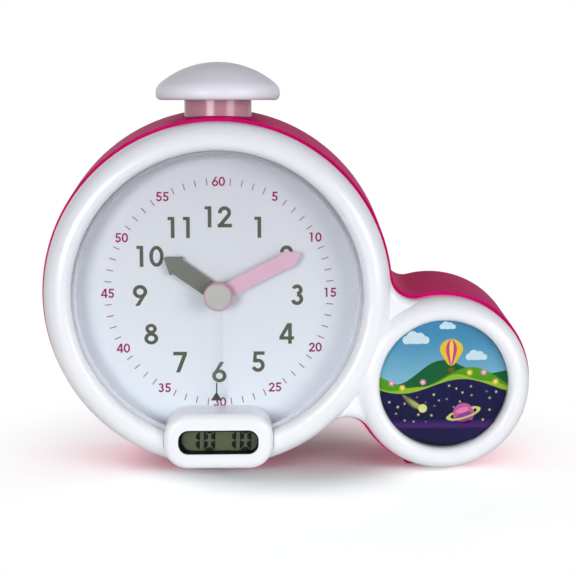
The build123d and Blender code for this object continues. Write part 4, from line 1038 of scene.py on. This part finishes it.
class CLOCK_OT_housing_shell(Operator):
    """Copies the housing and lets its upper wall rise a little towards the back"""

    bl_idname = "clock.housing_shell"
    bl_label = "Housing shell"

    def execute(self, context):
        rise = context.scene.clock_shell.rise
        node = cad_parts["rear_housing"]
        mesh = merged("housing_shell", node.data)
        low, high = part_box("rear_housing")
        lobes = [(DIAL, DIAL.x - low[0]), (LAMP, high[0] - LAMP.x)]
        wall = (0.925, 0.965)  # parts of a lobe's reach between which the rise comes in
        heights = (0.03, 0.08)  # metres above the floor between which it comes in
        for vertex in mesh.vertices:
            spot = vertex.co
            out = min(math.hypot(spot.x - lobe.x, spot.z - lobe.z) / reach for lobe, reach in lobes)
            depth = min(1.0, max(0.0, (spot.y - low[1]) / (high[1] - low[1])))
            spot.z += rise * depth * eased(out, *wall) * eased(spot.z, *heights)
        for face in mesh.polygons:
            face.material_index = 1 if face.normal.y > 0.6 else 0
        finish = node.data.materials[0]
        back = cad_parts["battery_door"].data.materials[0]
        piece = link(mesh, "clock_body", "magenta_shell", finish, back)
        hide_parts("rear_housing")
        return {"FINISHED"}


class CLOCK_OT_press_spring(Operator):
    """Copies the coil spring under the dome and shows the copy in place of the node"""

    bl_idname = "clock.press_spring"
    bl_label = "Press spring"

    def execute(self, context):
        low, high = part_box("button_spring")
        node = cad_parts["button_spring"]
        mesh = merged("press_spring", node.data)
        piece = link(mesh, "clock_body", "steel_wire", node.data.materials[0])
        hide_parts("button_spring")
        foot = middle("button_spring")
        foot.z = low[2]
        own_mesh(piece)
        return {"FINISHED"}


class CLOCK_OT_hour_numerals(Operator):
    """Prints the twelve hour numerals on the dial"""

    bl_idname = "clock.hour_numerals"
    bl_label = "Hour numerals"

    def execute(self, context):
        dial = context.scene.clock_dial
        mesh = numeral_ring(
            "hour_numerals", 1, dial.hour_height, dial.hour_ring, dial.hour_shift, dial.ink
        )
        link(mesh, "clock_body", "grey_hand", printed_ink("hour_ink", full(dial.hour_colour)))
        return {"FINISHED"}


class CLOCK_OT_minute_numerals(Operator):
    """Prints the minute numerals, five to sixty, round the rim of the dial"""

    bl_idname = "clock.minute_numerals"
    bl_label = "Minute numerals"

    def execute(self, context):
        dial = context.scene.clock_dial
        mesh = numeral_ring(
            "minute_numerals", 5, dial.minute_height, dial.minute_ring, dial.minute_shift, dial.ink
        )
        ink = printed_ink("minute_ink", full(dial.minute_colour))
        link(mesh, "clock_body", "magenta_shell", ink)
        return {"FINISHED"}


class CLOCK_OT_minute_ticks(Operator):
    """Prints the minute ticks between the numerals"""

    bl_idname = "clock.minute_ticks"
    bl_label = "Minute ticks"

    def execute(self, context):
        dial = context.scene.clock_dial
        growth = Growth(
            "minute_ticks",
            Count=60,
            Ring=dial.minute_ring,
            Length=dial.tick_length,
            Width=dial.tick_width,
            Ink=dial.ink,
            Skip=5,
            Finish=printed_ink("tick_ink", full(dial.tick_colour)),
        )
        given = growth.given
        ring = growth.node(
            "GeometryNodeMeshCircle", values={"Vertices": given["Count"], "Radius": given["Ring"]}
        )
        index = growth.node("GeometryNodeInputIndex")[0]
        between = growth.maths("GREATER_THAN", growth.maths("MODULO", index, given["Skip"]), 0.5)
        part = growth.maths("DIVIDE", index, given["Count"])
        turn = growth.maths("MULTIPLY", part, 2 * math.pi)
        pointing = growth.node("ShaderNodeCombineXYZ", values={"Z": turn})
        size = growth.node(
            "ShaderNodeCombineXYZ",
            values={"X": given["Length"], "Y": given["Width"], "Z": given["Ink"]},
        )
        bar = growth.node("GeometryNodeMeshCube", values={"Size": size[0]})
        ticks = growth.node(
            "GeometryNodeInstanceOnPoints",
            values={
                "Points": ring[0], "Selection": between, "Instance": bar[0], "Rotation": pointing[0]
            },
        )
        mesh = growth.bake(ticks[0])
        across, up = dial.minute_shift
        front = front_of("dial_plate") - dial.ink * 0.4
        mesh.transform(Matrix.Translation((DIAL.x + across, front, DIAL.z + up)))
        link(mesh, "clock_body", "pink_hand")
        return {"FINISHED"}


class CLOCK_OT_second_print(Operator):
    """Prints the line and the pointer on the clear second hand"""

    bl_idname = "clock.second_print"
    bl_label = "Second hand print"

    def execute(self, context):
        hands = context.scene.clock_hands
        angle = math.radians(181.2)  # where the second hand points at rest, from 12
        along, beside = math.cos(angle), math.sin(angle)
        half, wide = hands.line_width / 2, hands.mark_width / 2
        end = hands.mark_inner + 0.5 * MM
        line = [(half, hands.line_start), (-half, hands.line_start), (-half, end), (half, end)]
        mark = [(0, hands.mark_inner), (wide, hands.mark_outer), (-wide, hands.mark_outer)]
        outlines = [
            [
                ((DIAL.x + x * along + z * beside) / MM, (DIAL.z - x * beside + z * along) / MM)
                for x, z in outline
            ]
            for outline in (line, mark)
        ]
        thick = 0.02 * MM
        mesh = plate("second_print", outlines, front_of("second_hand") - thick, thick)
        link(mesh, "seconds", "grey_hand", printed_ink("hand_ink", tint(66, 62, 58)))
        return {"FINISHED"}


def digit_foot(sizes):
    """Height of the feet of the display's digits."""
    return middle("lcd_window").z - sizes.digit_height / 2 + 0.1 * MM


class CLOCK_OT_display_digits(Operator):
    """Draws the four dark digits on the display glass"""

    bl_idname = "clock.display_digits"
    bl_label = "Display digits"

    SEGMENTS = {"0": "abcdef", "1": "bc"}

    def segment(self, name, width, height, s, gap):
        """Outline of one segment, s wide, in a digit whose corner is at the origin."""
        half, g, bar = height / 2, gap / 2, s * 0.8
        if name in "ad":
            inner = height - bar
            outline = [(g, height), (width - g, height), (width - bar - g, inner), (bar + g, inner)]
        else:
            outline = [
                (0, height - 2 * g),
                (s, height - s - g),
                (s, half + s * 0.45),
                (s * 0.35, half + g),
                (0, half + g),
            ]
        if name in "bc":
            outline = [(width - x, z) for x, z in outline]
        if name in "cde":
            outline = [(x, height - z) for x, z in outline]
        return outline

    def execute(self, context):
        sizes = context.scene.clock_display
        foot = digit_foot(sizes) / MM
        size = [v / MM for v in (sizes.digit_width, sizes.digit_height, sizes.stroke, sizes.gap)]
        first = middle("lcd_window").x - 13.85 * MM
        outlines = []
        for pair in (0, sizes.pair_pitch):
            for digit, step in (("1", pair), ("0", pair + sizes.digit_pitch)):
                left = (first + step) / MM
                for name in self.SEGMENTS[digit]:
                    outline = self.segment(name, *size)
                    outlines.append([(left + x + z * sizes.slant, foot + z) for x, z in outline])
        thick = 0.03 * MM
        mesh = plate("display_digits", outlines, front_of("lcd_glass") - thick, thick)
        ink = printed_ink("segment_ink", full(sizes.segment), 0.6)
        link(mesh, "clock_body", "black_trim", ink)
        return {"FINISHED"}


def picture_piece(name, shapes, sizes):
    """Stacks coloured shapes, given from the picture's centre, in front of the film."""
    parts = []
    front, reach, thick = front_of("picture_film"), sizes.reach / MM, sizes.layer
    for level, colour, outline in shapes:
        kept = []
        for x, z in outline:
            out = math.hypot(x, z)
            squeeze = min(1.0, reach / out) if out else 1.0
            kept.append((LAMP.x / MM + x * squeeze, LAMP.z / MM + z * squeeze))
        parts.append(plate(name, [kept], front - thick * (level + 1), thick * 0.9, colour))
    ink = bpy.data.materials["picture_ink"]
    link(join(name, parts), "clock_body", "picture_print", ink)


def hill(rise, swing, pace, phase):
    """Ground between a rolling crest and the line between day and night."""
    tops = [-30 + 1.5 * i for i in range(41)]
    crest = [(x, divide(x) + rise + swing * math.sin(pace * x + phase)) for x in tops]
    return crest + [(x, divide(x)) for x in reversed(tops)]


class CLOCK_OT_picture_day(Operator):
    """Prints the day side of the picture: hills, clouds, flowers and a balloon"""

    bl_idname = "clock.picture_day"
    bl_label = "Picture, day side"

    def execute(self, context):
        cloud = tint(206, 226, 236)
        shapes = [
            (0, tint(4, 92, 44), hill(7.5, 3.5, 0.16, 2.2)),
            (1, tint(82, 152, 12), hill(3.6, 2.6, 0.13, -0.6)),
            (2, tint(150, 190, 40), hill(1.5, 0.9, 0.3, 0.0)),
        ]
        # clouds: each is four puffs, given by place and radius, on a flat oval
        puffs = ((-4.2, 0, 2.0), (-1.6, 1.4, 2.7), (1.8, 1.0, 2.4), (4.4, -0.1, 1.8))
        for x, z, size in ((-13, 20.5, 1.0), (15, 12.5, 0.8), (1.5, 26.6, 0.6)):
            for i, (dx, dz, radius) in enumerate(puffs):
                puff = disc(x + dx * size, z + dz * size, radius * size)
                shapes.append((i % 2, cloud, puff))
            shapes.append((2, cloud, disc(x, z - 0.5 * size, 5.4 * size, squash=0.26)))

        # balloon: its envelope, two gores and the basket
        x, z = 3.4, 15.4
        for level, colour, flank in (
            (3, tint(232, 196, 40), ((0, 5.6), (4.4, 3.4), (5.2, 0), (2.9, -4.2), (1.1, -6.6))),
            (4, tint(206, 60, 130), ((0, 5.4), (2.0, 3.2), (2.5, 0), (1.4, -4.2), (0.5, -6.4))),
            (5, tint(244, 214, 80), ((0, 5.2), (0.8, 3), (0.9, 0), (0.4, -4.2), (0, -6.2))),
        ):
            shapes.append((level, colour, mirrored(x, z, flank)))
        basket = [(x - 1.3, z - 8), (x + 1.3, z - 8), (x + 1, z - 10), (x - 1, z - 10)]
        shapes.append((3, tint(112, 92, 24), basket))

        # flowers along the hills
        flowers = ((-24, 4.6), (-19, 2.8), (-9.5, 3.4), (12, 3.2), (18.5, 4.8), (24, 2.4))
        for i, (x, rise) in enumerate(flowers):
            z = divide(x) + rise
            colour = tint(236, 206, 60) if i % 2 else tint(232, 150, 190)
            for step in range(5):
                angle = 2 * math.pi * step / 5 + i
                petal = disc(x + 0.85 * math.cos(angle), z + 0.85 * math.sin(angle), 0.62, 12)
                shapes.append((3, colour, petal))
            shapes.append((4, tint(250, 244, 210), disc(x, z, 0.5, 12)))
        picture_piece("picture_day", shapes, context.scene.clock_picture)
        return {"FINISHED"}


class CLOCK_OT_picture_night(Operator):
    """Prints the night side of the picture: a ringed planet, a comet and low hills"""

    bl_idname = "clock.picture_night"
    bl_label = "Picture, night side"

    def execute(self, context):
        # planet, with the part of its ring that isn't behind it
        x, z = 9.5, -14.0
        tilt = 0.3
        shapes = [
            (0, tint(196, 88, 152), disc(x, z, 4.9, 40)),
            (1, tint(150, 58, 140), disc(x + 0.5, z - 1.6, 4.1, 40, 0.55, tilt)),
            (2, tint(222, 132, 178), disc(x - 0.6, z + 1.5, 3.2, 40, 0.4, tilt)),
        ]
        steps = 48
        outer = disc(x, z, 8.2, steps, 0.3, tilt)
        inner = disc(x, z, 6.4, steps, 0.26, tilt)
        for i in range(steps):
            j = (i + 1) % steps
            angle = 2 * math.pi * (i + 0.5) / steps
            if math.sin(angle) < 0.25 or abs(math.cos(angle)) > 0.62:
                shapes.append((3, tint(206, 212, 118), [outer[i], outer[j], inner[j], inner[i]]))

        # comet, then the hills at the foot
        x, z = -9.5, -11.5
        for level, colour, tail in (
            (0, tint(120, 120, 70), ((0, 0), (-3.4, 3.4), (-9.5, 6.4), (-4.6, 0.4))),
            (1, tint(170, 178, 92), ((0, 0), (-2.4, 2.2), (-6.6, 4.2), (-3.0, 0.4))),
        ):
            shapes.append((level, colour, smooth_loop([(x + dx, z + dz) for dx, dz in tail])))
        shapes.append((2, tint(222, 226, 140), disc(x, z, 2.0, 28)))
        for level, colour, base, swing, phase in (
            (0, tint(40, 20, 96), -21.0, 2.2, 0.3),
            (1, tint(70, 26, 100), -24.4, 1.8, 2.2),
            (2, tint(20, 10, 66), -26.8, 1.0, 4.0),
        ):
            crest = [(x, base + swing * math.sin(0.21 * x + phase)) for x in range(-30, 31)]
            foot = [(x, -31.0) for x in range(30, -31, -1)]
            shapes.append((level, colour, crest + foot))
        picture_piece("picture_night", shapes, context.scene.clock_picture)
        return {"FINISHED"}


class CLOCK_OT_night_dots(Operator):
    """Scatters small light dots over the night side of the picture"""

    bl_idname = "clock.night_dots"
    bl_label = "Night dots"

    def execute(self, context):
        sizes = context.scene.clock_picture
        reach, angles = 27, (-0.35, -0.7, -1.1, -1.57, -2.04, -2.44, -2.79)
        outline = [(x, divide(x) - 2.2) for x in range(-reach, reach + 1, 3)]
        outline += [(reach * math.cos(a), max(-19.0, reach * math.sin(a))) for a in angles]
        patch = bmesh.new()
        patch.faces.new([patch.verts.new((x * MM, z * MM, 0)) for x, z in reversed(outline)])
        bmesh.ops.triangulate(patch, faces=patch.faces)
        base = bpy.data.meshes.new("night_field")
        patch.to_mesh(base)
        patch.free()
        field = 52 * 18 * MM * MM  # about the area of the night side
        growth = Growth(
            "night_dots",
            Spacing=3.2 * MM,
            Density=sizes.dots / field * 2.2,
            Dot=0.46 * MM,
            Ink=sizes.layer,
            Seed=sizes.seed,
            Finish=printed_ink("dot_ink", tint(208, 214, 128), 0.45),
        )
        given = growth.given
        points = growth.node(
            "GeometryNodeDistributePointsOnFaces",
            {"distribute_method": "POISSON"},
            {
                "Mesh": given["Geometry"],
                "Distance Min": given["Spacing"],
                "Density Max": given["Density"],
                "Seed": given["Seed"],
            },
        )
        dot = growth.node(
            "GeometryNodeMeshCylinder",
            {"fill_type": "NGON"},
            {"Vertices": 10, "Radius": given["Dot"], "Depth": given["Ink"]},
        )
        scale = growth.node(
            "FunctionNodeRandomValue",
            {"data_type": "FLOAT"},
            {2: 0.45, 3: 1.25, "Seed": given["Seed"]},
        )
        dots = growth.node(
            "GeometryNodeInstanceOnPoints",
            values={"Points": points[0], "Instance": dot[0], "Scale": scale[1]},
        )
        mesh = growth.bake(dots[0], base)
        front = front_of("picture_film") - sizes.layer * 0.8
        mesh.transform(Matrix.Translation((LAMP.x, front, LAMP.z)))
        link(mesh, "clock_body", "picture_print")
        return {"FINISHED"}


class CLOCK_OT_studio(Operator):
    """Sets up the pale floor, the soft lights and the camera"""

    bl_idname = "clock.studio"
    bl_label = "Studio"

    def lamp(self, name, place, size, energy):
        """A round soft lamp that faces the clock."""
        data = bpy.data.lights.new(name, "AREA")
        data.shape = "DISK"
        data.size = size
        data.energy = energy
        lamp = stand(name, data)
        lamp.location = place
        aim = Vector((0.0, 0.0, 0.08)) - Vector(place)
        lamp.rotation_euler = aim.to_track_quat("-Z", "Y").to_euler()

    def light_world(self, ambient):
        """Light all round, weaker from above; the camera and glass see it white, gloss in part."""
        world = bpy.data.worlds.new("studio")
        air = Finish("studio", world)
        path = air.node("ShaderNodeLightPath")
        gloss, glass = path.output("Is Glossy Ray"), path.output("Is Transmission Ray")
        seen = path.high(gloss * 0.4).high(glass)
        _, _, up = air.axes(air.node("ShaderNodeTexCoord", output=0))
        level = (1.5 - up.high(0.0) * 1.2) * ambient
        even = air.node("ShaderNodeBackground", values={"Color": (1, 1, 1, 1), "Strength": level})
        white = air.node("ShaderNodeBackground", values={"Color": (1, 1, 1, 1), "Strength": 1.0})
        mixed = air.node("ShaderNodeMixShader", values={0: seen, 1: even, 2: white})
        return air.done(mixed, "ShaderNodeOutputWorld")

    def lay_floor(self):
        """Pale floor, which the camera sees brighter away from the clock and darker close round it,
        painted shade under the clock.
        """
        floor = Finish("studio_floor")
        spot = floor.place()
        across, along, _ = floor.axes(spot)
        out = (across * across + along * along).root()
        speck = floor.noise(spot, 12.0, 3.0)
        body = floor.blend(speck, (0.83, 0.9, 0.885, 1), (0.87, 0.94, 0.925, 1))
        sheet = floor.surface(Base_Color=body, Roughness=speck * 0.05 + 0.5)
        # painted shade: the camera's extra brightness falls almost to nothing close round the clock
        pale = floor.blend(out.ramp(0.03, 0.085), (0.1, 0.1, 0.1, 1), (1.2, 1.2, 1.2, 1))
        lift = floor.node("ShaderNodeBsdfDiffuse", values={"Color": pale})
        bright = floor.node("ShaderNodeAddShader", values={0: sheet, 1: lift})
        glow = floor.node("ShaderNodeEmission", values={"Color": (1, 1, 1, 1), "Strength": 1.0})
        path = floor.node("ShaderNodeLightPath")
        lit = floor.node("ShaderNodeMixShader", values={0: path, 1: sheet, 2: bright})
        away = path * out.ramp(0.04, 0.18)
        shown = floor.node("ShaderNodeMixShader", values={0: away, 1: lit, 2: glow})
        side = 6.0
        mesh = bpy.data.meshes.new("studio_floor")
        mesh.from_pydata(
            [(-side, -side, 0), (side, -side, 0), (side, side, 0), (-side, side, 0)],
            [],
            [(0, 1, 2, 3)],
        )
        mesh.materials.append(floor.done(shown))
        stand("studio_floor", mesh)

    def execute(self, context):
        scene = context.scene
        studio = scene.clock_studio
        scene.view_settings.view_transform = "Standard"
        scene.world = self.light_world(studio.ambient)
        self.lay_floor()
        self.lamp("key", (-0.65, -1.3, 0.2), 0.6, studio.key)
        self.lamp("fill", (1.0, -1.05, 0.34), 0.8, studio.fill)
        self.lamp("top", (0.1, 0.1, 1.4), 0.9, studio.top)
        self.lamp("back", (-0.5, 1.3, 0.5), 1.0, studio.back)

        data = bpy.data.cameras.new("camera")
        data.lens = studio.focal
        data.sensor_width = 36.0
        data.clip_start = 0.01
        camera = stand("camera", data)
        camera.location = studio.eye
        camera.rotation_euler = (math.pi / 2 - studio.pitch, 0.0, -studio.yaw)
        scene.camera = camera
        return {"FINISHED"}


class CLOCK_PT_panel(Panel):
    """Lists the clock's pieces and sizes"""

    bl_label = "Kids alarm clock"
    bl_idname = "CLOCK_PT_panel"
    bl_space_type = "VIEW_3D"
    bl_region_type = "UI"
    bl_category = "Clock"

    def draw(self, context):
        layout = self.layout
        for settings in SETTINGS:
            group = getattr(context.scene, settings)
            box = layout.box()
            for name in group.bl_rna.properties.keys():
                if name not in ("rna_type", "name"):
                    box.prop(group, name)
        for operator in OPERATORS:
            layout.operator(operator.bl_idname)


SETTINGS = {
    "clock_shell": ShellSettings,
    "clock_dial": DialSettings,
    "clock_hands": HandSettings,
    "clock_display": DisplaySettings,
    "clock_picture": PictureSettings,
    "clock_studio": StudioSettings,
}
OPERATORS = (
    CLOCK_OT_finishes,
    CLOCK_OT_dial_glass,
    CLOCK_OT_housing_shell,
    CLOCK_OT_press_spring,
    CLOCK_OT_hour_numerals,
    CLOCK_OT_minute_numerals,
    CLOCK_OT_minute_ticks,
    CLOCK_OT_second_print,
    CLOCK_OT_display_digits,
    CLOCK_OT_picture_day,
    CLOCK_OT_picture_night,
    CLOCK_OT_night_dots,
    CLOCK_OT_studio,
)
CLASSES = (*SETTINGS.values(), *OPERATORS, CLOCK_PT_panel)


def register():
    for kind in CLASSES:
        bpy.utils.register_class(kind)
    for name, kind in SETTINGS.items():
        setattr(bpy.types.Scene, name, PointerProperty(type=kind))


def unregister():
    for name in SETTINGS:
        delattr(bpy.types.Scene, name)
    for kind in reversed(CLASSES):
        bpy.utils.unregister_class(kind)


def main():
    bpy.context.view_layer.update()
    register()
    for operator in OPERATORS:
        group, name = operator.bl_idname.split(".")
        getattr(getattr(bpy.ops, group), name)()


if __name__ == "__main__":
    main()
